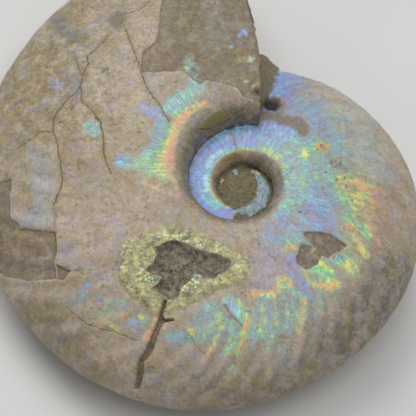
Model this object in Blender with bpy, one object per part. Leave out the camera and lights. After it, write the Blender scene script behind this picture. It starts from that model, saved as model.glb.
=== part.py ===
"""Cleoniceras ammonite: a fossil shell lying on its side, broken off at the aperture.

The shell is one closed solid. It is wrapped from flat sheets round its coiling axis,
welded along the seams where one whorl lies on the last, closed by the broken face and
by the stone that fills the middle of each umbilicus. Flaked patches, a crusted pit and
an open crack are then sunk into the upper flank, and the shell is laid down on the
place where its lower flank is worn flat.

Lengths are in millimetres and become metres at the end. A turn is one whorl: it is 0
at the broken aperture and -1 one whorl earlier. Seen from above the shell grows
clockwise, +Z is up, and the aperture lies at the back, towards +Y.
"""

import math

import bmesh
import bpy
from mathutils import Matrix, Vector

METRES = 0.001

# Coil: radii and half thickness at the aperture, and how fast each grows in a turn
VENTER_RADIUS = 53.1
VENTER_GROWTH = 0.769
SHOULDER_RADIUS = 12.75
SHOULDER_GROWTH = 0.818
SHOULDER_BEND = 0.029
HALF_THICKNESS = 11.8
THICKNESS_GROWTH = 0.489
APERTURE_ANGLE = math.radians(75.5)

# Share by which the outline stands off an even spiral, at each eighth of the last turn
OUTLINE_SWELL = (0.014, 0.004, -0.013, -0.026, 0.014, 0.001, -0.013, -0.006, 0.007)
SWELL_FADE = 0.25

# Section: the flank's bulge, and the umbilical wall below the shoulder
FLANK_FLATNESS = 2.33
FLANK_ROUNDNESS = 0.605
SEAM_SHARE = 0.83
SEAM_SHARE_GROWTH = 0.085
WALL_TOP_SHARE = 1.15
WALL_ROUNDNESS = 2.4

# Stone that fills the middle of the umbilicus
STONE_LEVEL = 5.2
STONE_FALL = 0.037

# The broken face leans back from its foot to the venter, and stone bulges at its foot
BREAK_LEAN = 0.051
BREAK_REACH = 0.12
LUMP_REACH = 3.6
BREAK_SHARES = (0.0, 0.4, 0.75, 0.9, 1.0)
LEAN_PASSES = 8

# Sheets: columns round a turn, and rows on the wall, up to the next seam and to the venter
COLUMNS = 72
WALL_ROWS = 3
SEAM_ROWS = 2
FLANK_ROWS = 9
VENTER_CROWDING = 0.9

# Outlines sunk into the upper flank, as plan points from the coil's centre, and depths
CRUST_CENTRE = (-8.6, -16.6)
CRUST_LENGTH = 23.0
CRUST_WIDTH = 14.6
CRUST_TURN = math.radians(-14.0)
CRUST_POINTS = 18
CRUST_DEPTH = 0.3
PIT = (
    (-15.0, -16.8),
    (-13.2, -12.6),
    (-10.2, -11.2),
    (-6.6, -12.9),
    (-3.4, -13.4),
    (-0.8, -14.8),
    (-1.7, -17.0),
    (-4.2, -17.9),
    (-6.4, -17.0),
    (-8.4, -19.4),
    (-11.2, -21.0),
    (-12.0, -18.6),
)
PIT_DEPTH = 1.3
LEFT_FLAKE = (
    (-28.6, -9.9),
    (-34.4, -8.2),
    (-36.0, -6.9),
    (-36.4, 0.4),
    (-40.0, 0.8),
    (-39.4, -8.0),
    (-37.4, -15.0),
    (-32.2, -16.9),
    (-28.2, -17.0),
    (-27.8, -12.8),
)
TOP_FLAKE = (
    (-16.4, 17.7),
    (-16.4, 19.6),
    (-14.0, 22.6),
    (-13.6, 30.0),
    (-12.6, 36.0),
    (-9.0, 36.0),
    (-9.6, 27.5),
    (-9.0, 21.5),
    (-9.3, 17.6),
)
RIGHT_FLAKE = (
    (8.8, -12.9),
    (9.2, -9.2),
    (13.6, -8.9),
    (15.9, -10.7),
    (14.7, -12.3),
    (12.8, -12.7),
    (11.3, -14.6),
    (10.1, -14.6),
)
FLAKE_DEPTH = 0.45
CRACK = ((-10.9, -20.4), (-12.2, -24.6), (-13.4, -28.9), (-14.7, -31.6), (-15.4, -35.4))
CRACK_WIDTHS = (0.5, 0.5, 0.7, 1.0, 1.1)
CRACK_DEPTH = 0.9
CRACK_POINTS_BELOW = 3
SNAP = 0.12

# Lying down: the coil's plane leans until both lower shoulders touch the surface
LEAN = math.radians(4.2)
LEAN_TOWARDS = math.radians(-121.5)
WORN_DEPTH = 0.55

SHELL_COLOUR = (0.50, 0.44, 0.36, 1.0)
SHELL_ROUGHNESS = 0.38
SMOOTH_ANGLE = math.radians(35.0)


def clamp(value, low=0.0, high=1.0):
    """Keep a value between two limits."""
    return max(low, min(high, value))


def ease(value):
    """Go smoothly from 0 to 1 as the value does."""
    share = clamp(value)
    return share * share * (3.0 - 2.0 * share)


def outline_swell(turn):
    """Read the outline's departure from an even spiral, smoothly between its points."""
    last = len(OUTLINE_SWELL) - 1
    place = clamp(turn + 1.0) * last
    start = min(int(place), last - 1)
    share = place - start
    around = [int(clamp(start + step, 0, last)) for step in (-1, 0, 1, 2)]
    before, here, there, after = (OUTLINE_SWELL[index] for index in around)
    smooth = 2.0 * here + (there - before) * share
    smooth += (2.0 * before - 5.0 * here + 4.0 * there - after) * share**2
    smooth += (3.0 * here - before - 3.0 * there + after) * share**3
    fade = ease(1.0 + min(turn + 1.0, 0.0) / SWELL_FADE)
    return 0.5 * smooth * fade


def venter_radius(turn):
    """Give the outer radius of the whorl."""
    return VENTER_RADIUS * math.exp(VENTER_GROWTH * turn + outline_swell(turn))


def shoulder_radius(turn):
    """Give the radius of the rounded rim of the umbilicus."""
    return SHOULDER_RADIUS * math.exp(SHOULDER_GROWTH * turn + SHOULDER_BEND * turn * turn)


def wall_top_radius(turn):
    """Give the radius where the umbilical wall has become flank."""
    return WALL_TOP_SHARE * shoulder_radius(turn)


def seam_radius(turn):
    """Give the radius where the whorl meets the one before it."""
    return shoulder_radius(turn) * (SEAM_SHARE + SEAM_SHARE_GROWTH * turn)


def flank_height(turn, radius):
    """Give the flank's height over the middle plane, before the umbilical wall cuts it."""
    venter = venter_radius(turn)
    shoulder = shoulder_radius(turn)
    share = clamp((radius - shoulder) / (venter - shoulder))
    thickness = HALF_THICKNESS * math.exp(THICKNESS_GROWTH * turn)
    return thickness * (1.0 - share**FLANK_FLATNESS) ** FLANK_ROUNDNESS


def shell_height(turn, radius):
    """Give the shell's height at a radius, from the seam over the wall and the flank."""
    seam = seam_radius(turn)
    foot = flank_height(turn - 1.0, seam)
    climb = clamp((radius - seam) / (wall_top_radius(turn) - seam))
    rise = (1.0 - (1.0 - climb) ** WALL_ROUNDNESS) ** (1.0 / WALL_ROUNDNESS)
    return foot + (flank_height(turn, radius) - foot) * rise


def surface_height(turn, radius):
    """Give the height of the shell, or of the stone where it lies over the shell."""
    return max(shell_height(turn, radius), STONE_LEVEL - STONE_FALL * radius * radius)


def next_seam_share():
    """Find how far out on the flank the aperture's seam lies, one turn back."""
    top = wall_top_radius(-1.0)
    return (seam_radius(0.0) - top) / (venter_radius(-1.0) - top)


def row_radius(turn, row, outer_radius, outer_share):
    """Give the radius of a row, with the flank's rows up to outer_radius as given."""
    top = wall_top_radius(turn)
    if row <= WALL_ROWS:
        seam = seam_radius(turn)
        return seam + (top - seam) * (row / WALL_ROWS) ** 2
    share = next_seam_share()
    steps = row - WALL_ROWS
    if steps <= SEAM_ROWS:
        reached = share * steps / SEAM_ROWS
    else:
        along = (steps - SEAM_ROWS) / FLANK_ROWS
        curved = math.sin(0.5 * math.pi * along)
        reached = share + (1.0 - share) * (along + (curved - along) * VENTER_CROWDING)
    return top + (outer_radius - top) * reached / outer_share


LAST_ROW = WALL_ROWS + SEAM_ROWS + FLANK_ROWS
SEAM_ROW = WALL_ROWS + SEAM_ROWS


def coil_point(turn, radius, height):
    """Place a point at a turn, radius and height of the coil."""
    angle = APERTURE_ANGLE - math.tau * turn
    return Vector((radius * math.cos(angle), radius * math.sin(angle), height))


def lean_back(turn, radius):
    """Give how far the broken end leans back at a radius, fading away from the break."""
    nearness = ease(1.0 + turn / BREAK_REACH)
    inward = (venter_radius(0.0) - radius) / (venter_radius(0.0) - seam_radius(0.0))
    return nearness * BREAK_LEAN * (1.0 - clamp(inward) ** 2)


def last_whorl_section(turn, row):
    """Give turn, radius and height of a point; rows run over the venter to the far side."""
    side = 1.0 if row <= LAST_ROW else -1.0
    near_row = min(row, 2 * LAST_ROW - row)
    leaned = turn
    for _ in range(LEAN_PASSES):
        radius = row_radius(leaned, near_row, venter_radius(leaned), 1.0)
        leaned = turn - lean_back(turn, radius)
    return leaned, radius, side * surface_height(leaned, radius)


def wrap_sheet(bm, columns, rows, place):
    """Lay a flat sheet of squares and carry each of its points to place(column, row)."""
    sheet = bmesh.ops.create_grid(bm, x_segments=columns, y_segments=rows, size=0.5)
    for vert in sheet["verts"]:
        column = round((vert.co.x + 0.5) * columns)
        row = round((vert.co.y + 0.5) * rows)
        vert.co = place(column, row)


def add_last_whorl(bm):
    """Wrap the last whorl, from the upper seam over the venter to the lower seam."""

    def place(column, row):
        return coil_point(*last_whorl_section(column / COLUMNS - 1.0, row))

    wrap_sheet(bm, COLUMNS, 2 * LAST_ROW, place)


def add_inner_whorl(bm, side):
    """Wrap what shows of the whorl before, out to the seam of the last one."""

    def place(column, row):
        turn = column / COLUMNS - 2.0
        radius = row_radius(turn, row, seam_radius(turn + 1.0), next_seam_share())
        return coil_point(turn, radius, side * surface_height(turn, radius))

    wrap_sheet(bm, COLUMNS, SEAM_ROW, place)


def add_broken_face(bm):
    """Close the broken end down to the whorl before, with stone bulging at its foot."""

    def place(column, row):
        share = BREAK_SHARES[column]
        near_row = min(max(row, SEAM_ROW), 2 * LAST_ROW - SEAM_ROW)
        edge = Vector(last_whorl_section(0.0, row)[1:])
        foot = Vector(last_whorl_section(-1.0, near_row)[1:])
        radius, height = edge.lerp(foot, share)
        upright = coil_point(-lean_back(0.0, radius), radius, height)
        bulging = coil_point(0.0, radius, height)
        distance = (edge - foot).length * (1.0 - share)
        nearness = ease(1.0 - distance / LUMP_REACH) * ease(share / BREAK_SHARES[1])
        return upright.lerp(bulging, nearness)

    wrap_sheet(bm, len(BREAK_SHARES) - 1, 2 * LAST_ROW, place)


def close_umbilicus(bm):
    """Close the middle of each umbilicus with a low cone of stone."""
    open_edges = [edge for edge in bm.edges if edge.is_boundary]
    filled = bmesh.ops.holes_fill(bm, edges=open_edges, sides=0)
    poked = bmesh.ops.poke(bm, faces=filled["faces"])
    for vert in poked["verts"]:
        vert.co = Vector((0.0, 0.0, math.copysign(STONE_LEVEL, vert.co.z)))


def ellipse(centre, length, width, turn, count):
    """Give the points of an ellipse, turned in plan."""
    points = []
    for step in range(count):
        angle = math.tau * step / count
        along = 0.5 * length * math.cos(angle)
        across = 0.5 * width * math.sin(angle)
        x = centre[0] + along * math.cos(turn) - across * math.sin(turn)
        y = centre[1] + along * math.sin(turn) + across * math.cos(turn)
        points.append((x, y))
    return points


def ribbon(line, widths):
    """Give the outline of a crack that follows a line with a width at each point."""
    points = [Vector(point) for point in line]
    left = []
    right = []
    for index, (point, width) in enumerate(zip(points, widths)):
        before = points[max(index - 1, 0)]
        after = points[min(index + 1, len(points) - 1)]
        along = (after - before).normalized()
        aside = Vector((-along.y, along.x)) * width * 0.5
        left.append(tuple(point + aside))
        right.append(tuple(point - aside))
    return left + right[::-1]


def inside(point, outline):
    """Tell whether a plan point lies inside an outline."""
    crossings = 0
    for (ax, ay), (bx, by) in zip(outline, outline[1:] + outline[:1]):
        if (ay > point.y) != (by > point.y):
            reach = ax + (point.y - ay) * (bx - ax) / (by - ay)
            crossings += point.x < reach
    return crossings % 2 == 1


def spans(face, start, end, side):
    """Tell whether a face on one side of the fossil may be crossed by a plan line."""
    if face.calc_center_median().z * side < 0.0:
        return False
    for axis in (0, 1):
        low = min(vert.co[axis] for vert in face.verts)
        high = max(vert.co[axis] for vert in face.verts)
        if high < min(start[axis], end[axis]) or low > max(start[axis], end[axis]):
            return False
    return True


def outward(point):
    """Give the direction out of the flank or the venter at a point of the last whorl."""
    radius = math.hypot(point.x, point.y)
    angle = math.atan2(point.y, point.x)
    turn = -(((angle - APERTURE_ANGLE) / math.tau) % 1.0)
    middle = 0.5 * (shoulder_radius(turn) + venter_radius(turn))
    half_width = venter_radius(turn) - middle
    thickness = HALF_THICKNESS * math.exp(THICKNESS_GROWTH * turn)
    across = max(radius - middle, 0.0) / half_width**2
    normal = Vector((across * math.cos(angle), across * math.sin(angle), point.z / thickness**2))
    return normal.normalized()


def score(bm, outline, side):
    """Cut an outline into the faces of one side, with upright planes."""
    for start, end in zip(outline, outline[1:] + outline[:1]):
        faces = [face for face in bm.faces if spans(face, start, end, side)]
        edges = {edge for face in faces for edge in face.edges}
        verts = {vert for face in faces for vert in face.verts}
        along = Vector((end[0] - start[0], end[1] - start[1], 0.0))
        bmesh.ops.bisect_plane(
            bm,
            geom=faces + list(edges) + list(verts),
            dist=SNAP,
            plane_co=Vector((start[0], start[1], 0.0)),
            plane_no=Vector((-along.y, along.x, 0.0)).normalized(),
        )


def sink(bm, depth, above, below=()):
    """Sink what lies inside an outline on the upper side, and one on the lower side."""
    outlines = {1.0: list(above), -1.0: list(below)}
    for side, outline in outlines.items():
        score(bm, outline, side)
    region = []
    for face in bm.faces:
        centre = face.calc_center_median()
        if inside(centre, outlines[math.copysign(1.0, centre.z)]):
            region.append(face)
    sunk = bmesh.ops.extrude_face_region(bm, geom=region)
    bmesh.ops.delete(bm, geom=[face for face in region if face.is_valid], context="FACES")
    for item in sunk["geom"]:
        if isinstance(item, bmesh.types.BMVert):
            item.co -= outward(item.co) * depth


def lay_down(bm):
    """Lean the coil until it rests on its lower flank, and wear that place flat."""
    axis = Vector((-math.sin(LEAN_TOWARDS), math.cos(LEAN_TOWARDS), 0.0))
    bmesh.ops.rotate(bm, matrix=Matrix.Rotation(LEAN, 3, axis), verts=bm.verts)
    floor = min(vert.co.z for vert in bm.verts) + WORN_DEPTH
    for vert in bm.verts:
        vert.co.z = max(vert.co.z, floor)
    low = [min(vert.co[axis] for vert in bm.verts) for axis in range(3)]
    high = [max(vert.co[axis] for vert in bm.verts) for axis in range(3)]
    centre = Vector(((low[0] + high[0]) / 2, (low[1] + high[1]) / 2, floor))
    bmesh.ops.translate(bm, vec=-centre, verts=bm.verts)
    bmesh.ops.scale(bm, vec=(METRES, METRES, METRES), verts=bm.verts)


def build_shell_mesh():
    """Build the closed mesh of the fossil."""
    bm = bmesh.new()
    add_last_whorl(bm)
    add_inner_whorl(bm, 1.0)
    add_inner_whorl(bm, -1.0)
    add_broken_face(bm)
    bmesh.ops.remove_doubles(bm, verts=bm.verts, dist=0.001)
    close_umbilicus(bm)
    bmesh.ops.recalc_face_normals(bm, faces=bm.faces)
    crust = ellipse(CRUST_CENTRE, CRUST_LENGTH, CRUST_WIDTH, CRUST_TURN, CRUST_POINTS)
    crack_above = ribbon(CRACK, CRACK_WIDTHS)
    crack_below = ribbon(CRACK[-CRACK_POINTS_BELOW:], CRACK_WIDTHS[-CRACK_POINTS_BELOW:])
    sink(bm, CRUST_DEPTH, crust)
    sink(bm, PIT_DEPTH, PIT)
    sink(bm, CRACK_DEPTH, crack_above, crack_below)
    for flake in (LEFT_FLAKE, TOP_FLAKE, RIGHT_FLAKE):
        sink(bm, FLAKE_DEPTH, flake)
    lay_down(bm)
    bmesh.ops.triangulate(bm, faces=bm.faces)
    bmesh.ops.recalc_face_normals(bm, faces=bm.faces)
    mesh = bpy.data.meshes.new("ammonite")
    bm.to_mesh(mesh)
    bm.free()
    mesh.shade_smooth()
    mesh.set_sharp_from_angle(angle=SMOOTH_ANGLE)
    return mesh


def shell_material():
    """Make the shell's plain finish."""
    material = bpy.data.materials.new("shell")
    material.use_nodes = True
    shader = material.node_tree.nodes["Principled BSDF"]
    shader.inputs["Base Color"].default_value = SHELL_COLOUR
    shader.inputs["Roughness"].default_value = SHELL_ROUGHNESS
    shader.inputs["Metallic"].default_value = 0.0
    return material


def main():
    """Clear the scene and build the fossil."""
    for old in list(bpy.data.objects):
        bpy.data.objects.remove(old)
    mesh = build_shell_mesh()
    mesh.materials.append(shell_material())
    ammonite = bpy.data.objects.new("ammonite", mesh)
    bpy.context.scene.collection.objects.link(ammonite)


main()
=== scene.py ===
"""Looks of the cleoniceras ammonite: its fine shell mesh, its finish, the floor, the lights and the camera.

The shell is modelled upright in the coil's own frame, in millimetres, with the coiling axis along +Z, and
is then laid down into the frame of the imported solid, in metres. A turn is one whorl: 0 at the broken
aperture, -1 one whorl earlier. A course runs across the whorl: 0 at the upper seam, 1 at the venter and 2
at the lower seam. Marks that the photograph shows are placed by its pixels and are carried onto the shell
along the camera's rays, so each mark sits on the surface from every side.
"""

from __future__ import annotations

import logging
import math
from collections.abc import Callable
from dataclasses import dataclass, field
from enum import Enum
from typing import Any

import bmesh
import bpy
import numpy as np
from mathutils import Matrix, Vector, noise

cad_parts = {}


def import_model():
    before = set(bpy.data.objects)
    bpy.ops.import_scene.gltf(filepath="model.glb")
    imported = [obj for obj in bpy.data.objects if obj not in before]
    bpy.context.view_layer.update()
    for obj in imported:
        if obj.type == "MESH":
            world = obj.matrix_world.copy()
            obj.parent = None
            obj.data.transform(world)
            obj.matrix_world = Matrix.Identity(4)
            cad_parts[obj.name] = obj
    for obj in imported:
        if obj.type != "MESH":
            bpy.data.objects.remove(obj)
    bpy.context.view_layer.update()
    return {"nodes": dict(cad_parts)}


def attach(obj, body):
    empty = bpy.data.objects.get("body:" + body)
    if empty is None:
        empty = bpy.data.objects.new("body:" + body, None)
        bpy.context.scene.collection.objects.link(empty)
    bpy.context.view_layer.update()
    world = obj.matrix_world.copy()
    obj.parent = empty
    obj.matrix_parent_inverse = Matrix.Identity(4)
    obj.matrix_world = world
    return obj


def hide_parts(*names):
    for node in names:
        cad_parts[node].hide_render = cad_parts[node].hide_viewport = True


LOG = logging.getLogger("ammonite")

NODE = "ammonite"
BODY = "root"
METRES = 0.001
TINY = 1e-9
NOISE_SEED = 7
OCTAVE_FADE = 0.9
OCTAVE_STEP = 2.1
SCREEN_WHITE = 255.0

Numbers = float | np.ndarray
Pair = tuple[float, float]
Place = tuple[float, float, float]
Colour = tuple[float, ...]
Stops = tuple[tuple[float, Colour], ...]
Path = str


def clamp(value: Numbers, low: float = 0.0, high: float = 1.0) -> Numbers:
    """Keep a number or an array between two limits."""
    return np.clip(value, low, high)


def ease(value: Numbers) -> Numbers:
    """Go smoothly from 0 to 1 as the value does."""
    share = clamp(value)
    return share * share * (3.0 - 2.0 * share)


def lerp(start: Numbers, end: Numbers, share: Numbers) -> Numbers:
    """Go from one value to another."""
    return start + (end - start) * share


def corners_of(path: Path) -> np.ndarray:
    """Read a path, whose corners are written as x,y in pixels of the photograph."""
    return np.array([corner.split(",") for corner in path.split()], float)


def path_distance(pixels: np.ndarray, path: Path, closed: bool = False) -> np.ndarray:
    """Measure how far places are from a path.

    Args:
        pixels: rows of pixel coordinates.
        path: the path's corners.
        closed: whether its last corner joins its first.

    Returns:
        The distances, in pixels.
    """
    corners = corners_of(path)
    ends = np.roll(corners, -1, axis=0)
    nearest = np.full(len(pixels), np.inf)
    for start, end in zip(corners if closed else corners[:-1], ends):
        along = end - start
        share = clamp((pixels - start) @ along / max(float(along @ along), TINY))
        nearest = np.minimum(nearest, np.hypot(*(pixels - start - share[:, None] * along).T))
    return nearest


def depth_inside(pixels: np.ndarray, outline: Path) -> np.ndarray:
    """Measure how deep places lie inside an outline.

    Args:
        pixels: rows of pixel coordinates.
        outline: the outline's corners.

    Returns:
        The depths in pixels, below 0 outside the outline.
    """
    corners = corners_of(outline)
    crossings = np.zeros(len(pixels), int)
    for (ax, ay), (bx, by) in zip(corners, np.roll(corners, -1, axis=0)):
        spans = (ay > pixels[:, 1]) != (by > pixels[:, 1])
        reach = ax + (pixels[:, 1] - ay) * (bx - ax) / (by - ay if by != ay else TINY)
        crossings += spans & (pixels[:, 0] < reach)
    away = path_distance(pixels, outline, closed=True)
    return np.where(crossings % 2 == 1, away, -away)


@dataclass(frozen=True)
class Grain:
    """A smooth random field, with the size of its lumps in millimetres and its number of finer layers."""

    size: float
    seed: float
    octaves: int = 3

    def at(self, points: np.ndarray) -> np.ndarray:
        """Read the field at rows of x, y and z, about -1 to 1."""
        rows = points / self.size + self.seed
        return np.array([noise.fractal(Vector(row), OCTAVE_FADE, OCTAVE_STEP, self.octaves) for row in rows])


@dataclass(frozen=True)
class Drift:
    """A smooth random shift of the marks, with its reach and the size of its bends in pixels."""

    reach: float
    size: float
    seed: float

    def at(self, pixels: np.ndarray) -> np.ndarray:
        """Give the shift at each pixel place."""
        rows = np.column_stack([pixels / self.size, np.full(len(pixels), self.seed)])
        return self.reach * np.array([noise.noise_vector(Vector(row))[:2] for row in rows])


@dataclass(frozen=True)
class Coil:
    """The coiled form of the shell, in millimetres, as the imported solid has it."""

    venter: float = 53.1
    venter_growth: float = 0.769
    shoulder: float = 12.75
    shoulder_growth: float = 0.818
    shoulder_bend: float = 0.029
    thickness: float = 11.8
    thickness_growth: float = 0.489
    aperture_angle: float = math.radians(75.5)
    swell: tuple[float, ...] = (0.014, 0.004, -0.013, -0.026, 0.014, 0.001, -0.013, -0.006, 0.007)
    swell_fade: float = 0.25
    flatness: float = 2.33
    roundness: float = 0.605
    seam_share: float = 0.83
    seam_share_growth: float = 0.085
    wall_top_share: float = 1.15
    wall_roundness: float = 2.4
    stone_level: float = 5.2
    stone_fall: float = 0.037
    break_lean: float = 0.051
    break_reach: float = 0.12
    lump_reach: float = 3.6
    lump_start: float = 0.4
    wall_course: float = 0.16
    seam_course: float = 0.28
    venter_crowding: float = 0.9
    lean_passes: int = 8
    growth_reach: float = 0.045
    growth_bend: float = 0.45
    growth_sag: float = 0.005
    growth_sag_end: float = 0.9
    flank_middle: float = 2.0

    def swelling(self, turn: Numbers) -> Numbers:
        """Read the outline's departure from an even spiral, smoothly between its points.

        Args:
            turn: the turns.

        Returns:
            The departures, as shares of the radius.
        """
        points = np.array(self.swell)
        last = len(points) - 1
        place = clamp(np.asarray(turn, float) + 1.0) * last
        start = np.minimum(place.astype(int), last - 1)
        share = place - start
        before, here, there, after = (points[clamp(start + step, 0, last)] for step in (-1, 0, 1, 2))
        smooth = 2.0 * here + (there - before) * share
        smooth = smooth + (2.0 * before - 5.0 * here + 4.0 * there - after) * share**2
        smooth = smooth + (3.0 * here - before - 3.0 * there + after) * share**3
        return 0.5 * smooth * ease(1.0 + np.minimum(np.asarray(turn) + 1.0, 0.0) / self.swell_fade)

    def venter_radius(self, turn: Numbers) -> Numbers:
        """Give the outer radius of the whorl."""
        return self.venter * np.exp(self.venter_growth * turn + self.swelling(turn))

    def shoulder_radius(self, turn: Numbers) -> Numbers:
        """Give the radius of the rounded rim of the umbilicus."""
        return self.shoulder * np.exp(self.shoulder_growth * turn + self.shoulder_bend * turn * turn)

    def wall_top_radius(self, turn: Numbers) -> Numbers:
        """Give the radius where the umbilical wall has become flank."""
        return self.wall_top_share * self.shoulder_radius(turn)

    def seam_radius(self, turn: Numbers) -> Numbers:
        """Give the radius where the whorl meets the one before it."""
        return self.shoulder_radius(turn) * (self.seam_share + self.seam_share_growth * turn)

    def half_thickness(self, turn: Numbers) -> Numbers:
        """Give half the thickness of the whorl."""
        return self.thickness * np.exp(self.thickness_growth * turn)

    def flank_share(self, turn: Numbers, radius: Numbers) -> Numbers:
        """Give how far out a radius is on the flank, from 0 at the shoulder to 1 at the venter."""
        shoulder = self.shoulder_radius(turn)
        return (radius - shoulder) / (self.venter_radius(turn) - shoulder)

    def flank_height(self, turn: Numbers, radius: Numbers) -> Numbers:
        """Give the flank's height over the middle plane, before the umbilical wall cuts it."""
        share = clamp(self.flank_share(turn, radius))
        return self.half_thickness(turn) * (1.0 - share**self.flatness) ** self.roundness

    def stone_height(self, radius: Numbers) -> Numbers:
        """Give the height of the stone that fills the middle of the umbilicus."""
        return self.stone_level - self.stone_fall * radius * radius

    def surface_height(self, turn: Numbers, radius: Numbers) -> Numbers:
        """Give the height of the shell, or of the stone where it lies over the shell.

        Args:
            turn: the turns.
            radius: the radii at them.

        Returns:
            The heights over the middle plane.
        """
        seam = self.seam_radius(turn)
        foot = self.flank_height(turn - 1.0, seam)
        climb = clamp((radius - seam) / (self.wall_top_radius(turn) - seam))
        rise = (1.0 - (1.0 - climb) ** self.wall_roundness) ** (1.0 / self.wall_roundness)
        shell = foot + (self.flank_height(turn, radius) - foot) * rise
        return np.maximum(shell, self.stone_height(radius))

    def next_seam_share(self) -> float:
        """Find how far out on the flank the aperture's seam lies, one turn back."""
        top = self.wall_top_radius(-1.0)
        return float((self.seam_radius(0.0) - top) / (self.venter_radius(-1.0) - top))

    def radius_at(self, turn: Numbers, course: Numbers, outer_radius: Numbers, outer_share: float) -> Numbers:
        """Give the radius of a course on the upper side.

        Args:
            turn: the turns.
            course: the courses, 0 at the seam and 1 at the venter.
            outer_radius: the radius that the flank reaches.
            outer_share: the share of the flank that shows up to there.

        Returns:
            The radii.
        """
        top = self.wall_top_radius(turn)
        seam = self.seam_radius(turn)
        share = self.next_seam_share()
        wall = seam + (top - seam) * clamp(course / self.wall_course) ** 2
        low = share * clamp((course - self.wall_course) / (self.seam_course - self.wall_course))
        along = clamp((course - self.seam_course) / (1.0 - self.seam_course))
        curved = np.sin(0.5 * math.pi * along)
        reached = low + (1.0 - share) * (along + (curved - along) * self.venter_crowding)
        flank = top + (outer_radius - top) * reached / outer_share
        return np.where(course <= self.wall_course, wall, flank)

    def lean_back(self, turn: Numbers, radius: Numbers) -> Numbers:
        """Give how far the broken end leans back, fading away from the break.

        Args:
            turn: the turns.
            radius: the radii at them.

        Returns:
            Shares of a turn.
        """
        outer = self.venter_radius(0.0)
        inward = clamp((outer - radius) / (outer - self.seam_radius(0.0)))
        return ease(1.0 + turn / self.break_reach) * self.break_lean * (1.0 - inward**2)

    def point(self, turn: Numbers, radius: Numbers, height: Numbers) -> np.ndarray:
        """Place points at turns, radii and heights of the coil, as rows of x, y and z."""
        angle = self.aperture_angle - math.tau * turn
        return np.stack([radius * np.cos(angle), radius * np.sin(angle), height + 0.0 * radius], axis=-1)

    @staticmethod
    def fold(course: np.ndarray) -> tuple[np.ndarray, np.ndarray]:
        """Fold courses onto the upper side, and tell the upper side from the lower as 1 from -1."""
        return np.minimum(course, 2.0 - course), np.where(course <= 1.0, 1.0, -1.0)

    def section(self, turn: np.ndarray, course: np.ndarray) -> tuple[np.ndarray, np.ndarray, np.ndarray]:
        """Give turn, radius and height of places on the last whorl.

        Args:
            turn: the turns, -1 to 0.
            course: the courses, 0 to 2.

        Returns:
            The turns that the lean of the break leaves, the radii and the heights.
        """
        near, side = self.fold(course)
        leaned = turn
        for _ in range(self.lean_passes):
            radius = self.radius_at(leaned, near, self.venter_radius(leaned), 1.0)
            leaned = turn - self.lean_back(turn, radius)
        return leaned, radius, side * self.surface_height(leaned, radius)

    def last_whorl(self, turn: np.ndarray, course: np.ndarray) -> np.ndarray:
        """Place points of the last whorl."""
        return self.point(*self.section(turn, course))

    def whorl_before(self, turn: np.ndarray, course: np.ndarray) -> np.ndarray:
        """Place points of what shows of the whorl before, out to the seam of the last one.

        Args:
            turn: their turns, -2 to -1.
            course: their courses, 0 to 2.

        Returns:
            Rows of x, y and z.
        """
        near, side = self.fold(course)
        radius = self.radius_at(turn, near, self.seam_radius(turn + 1.0), self.next_seam_share())
        return self.point(turn, radius, side * self.surface_height(turn, radius))

    def broken_face(self, share: np.ndarray, course: np.ndarray) -> np.ndarray:
        """Place points of the broken end, from its edge down to the whorl before.

        Args:
            share: how far the points are from the edge to the foot.
            course: their courses, 0 to 2.

        Returns:
            Rows of x, y and z.
        """
        near = clamp(course, self.seam_course, 2.0 - self.seam_course)
        _, edge_radius, edge_height = self.section(0.0 * course, course)
        _, foot_radius, foot_height = self.section(0.0 * course - 1.0, near)
        radius = lerp(edge_radius, foot_radius, share)
        height = lerp(edge_height, foot_height, share)
        left = np.hypot(edge_radius - foot_radius, edge_height - foot_height) * (1.0 - share)
        bulge = ease(1.0 - left / self.lump_reach) * ease(share / self.lump_start)
        upright = self.point(-self.lean_back(0.0, radius), radius, height)
        return lerp(upright, self.point(0.0, radius, height), bulge[:, None])

    def growth_line(self, turn: np.ndarray, share: np.ndarray) -> np.ndarray:
        """Follow growth lines inwards.

        Args:
            turn: the turns of places.
            share: how far out they are on the flank.

        Returns:
            The turns at which the growth lines through them leave the umbilicus.
        """
        forward = self.growth_reach * clamp((share - self.growth_bend) / (1.0 - self.growth_bend)) ** 2
        backward = self.growth_sag * np.sin(math.pi * clamp(share / self.growth_sag_end))
        return turn - forward + backward

    def arc(self, turn: np.ndarray) -> np.ndarray:
        """Give how far round the coil a turn lies, in millimetres along the inner flank."""
        length = math.tau * self.flank_middle * self.shoulder
        return length * np.exp(self.shoulder_growth * turn) / self.shoulder_growth

    def seam_distance(self, turn: np.ndarray, radius: np.ndarray, height: np.ndarray) -> np.ndarray:
        """Give how far places are from the seam at the foot of the last whorl's umbilical wall.

        Args:
            turn: the turns of the places, below -1 on the whorl before.
            radius: their radii.
            height: their heights over or under the middle plane.

        Returns:
            Distances in millimetres.
        """
        last_turn = np.where(turn < -1.0, turn + 1.0, turn)
        seam = self.seam_radius(last_turn)
        foot = np.maximum(self.flank_height(last_turn - 1.0, seam), self.stone_height(seam))
        return np.hypot(radius - seam, np.abs(height) - foot)


@dataclass(frozen=True)
class Laying:
    """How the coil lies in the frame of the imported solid."""

    lean: float = math.radians(4.2)
    lean_towards: float = math.radians(-121.5)
    centre: Place = (6.715, -7.682, 10.161)

    def matrix(self) -> Matrix:
        """Give the way from the coil's frame to the solid's.

        Returns:
            A matrix that takes millimetres to metres.
        """
        axis = Vector((-math.sin(self.lean_towards), math.cos(self.lean_towards), 0.0))
        place = Matrix.Translation(Vector(self.centre)) @ Matrix.Rotation(self.lean, 4, axis)
        return Matrix.Scale(METRES, 4) @ place


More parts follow.
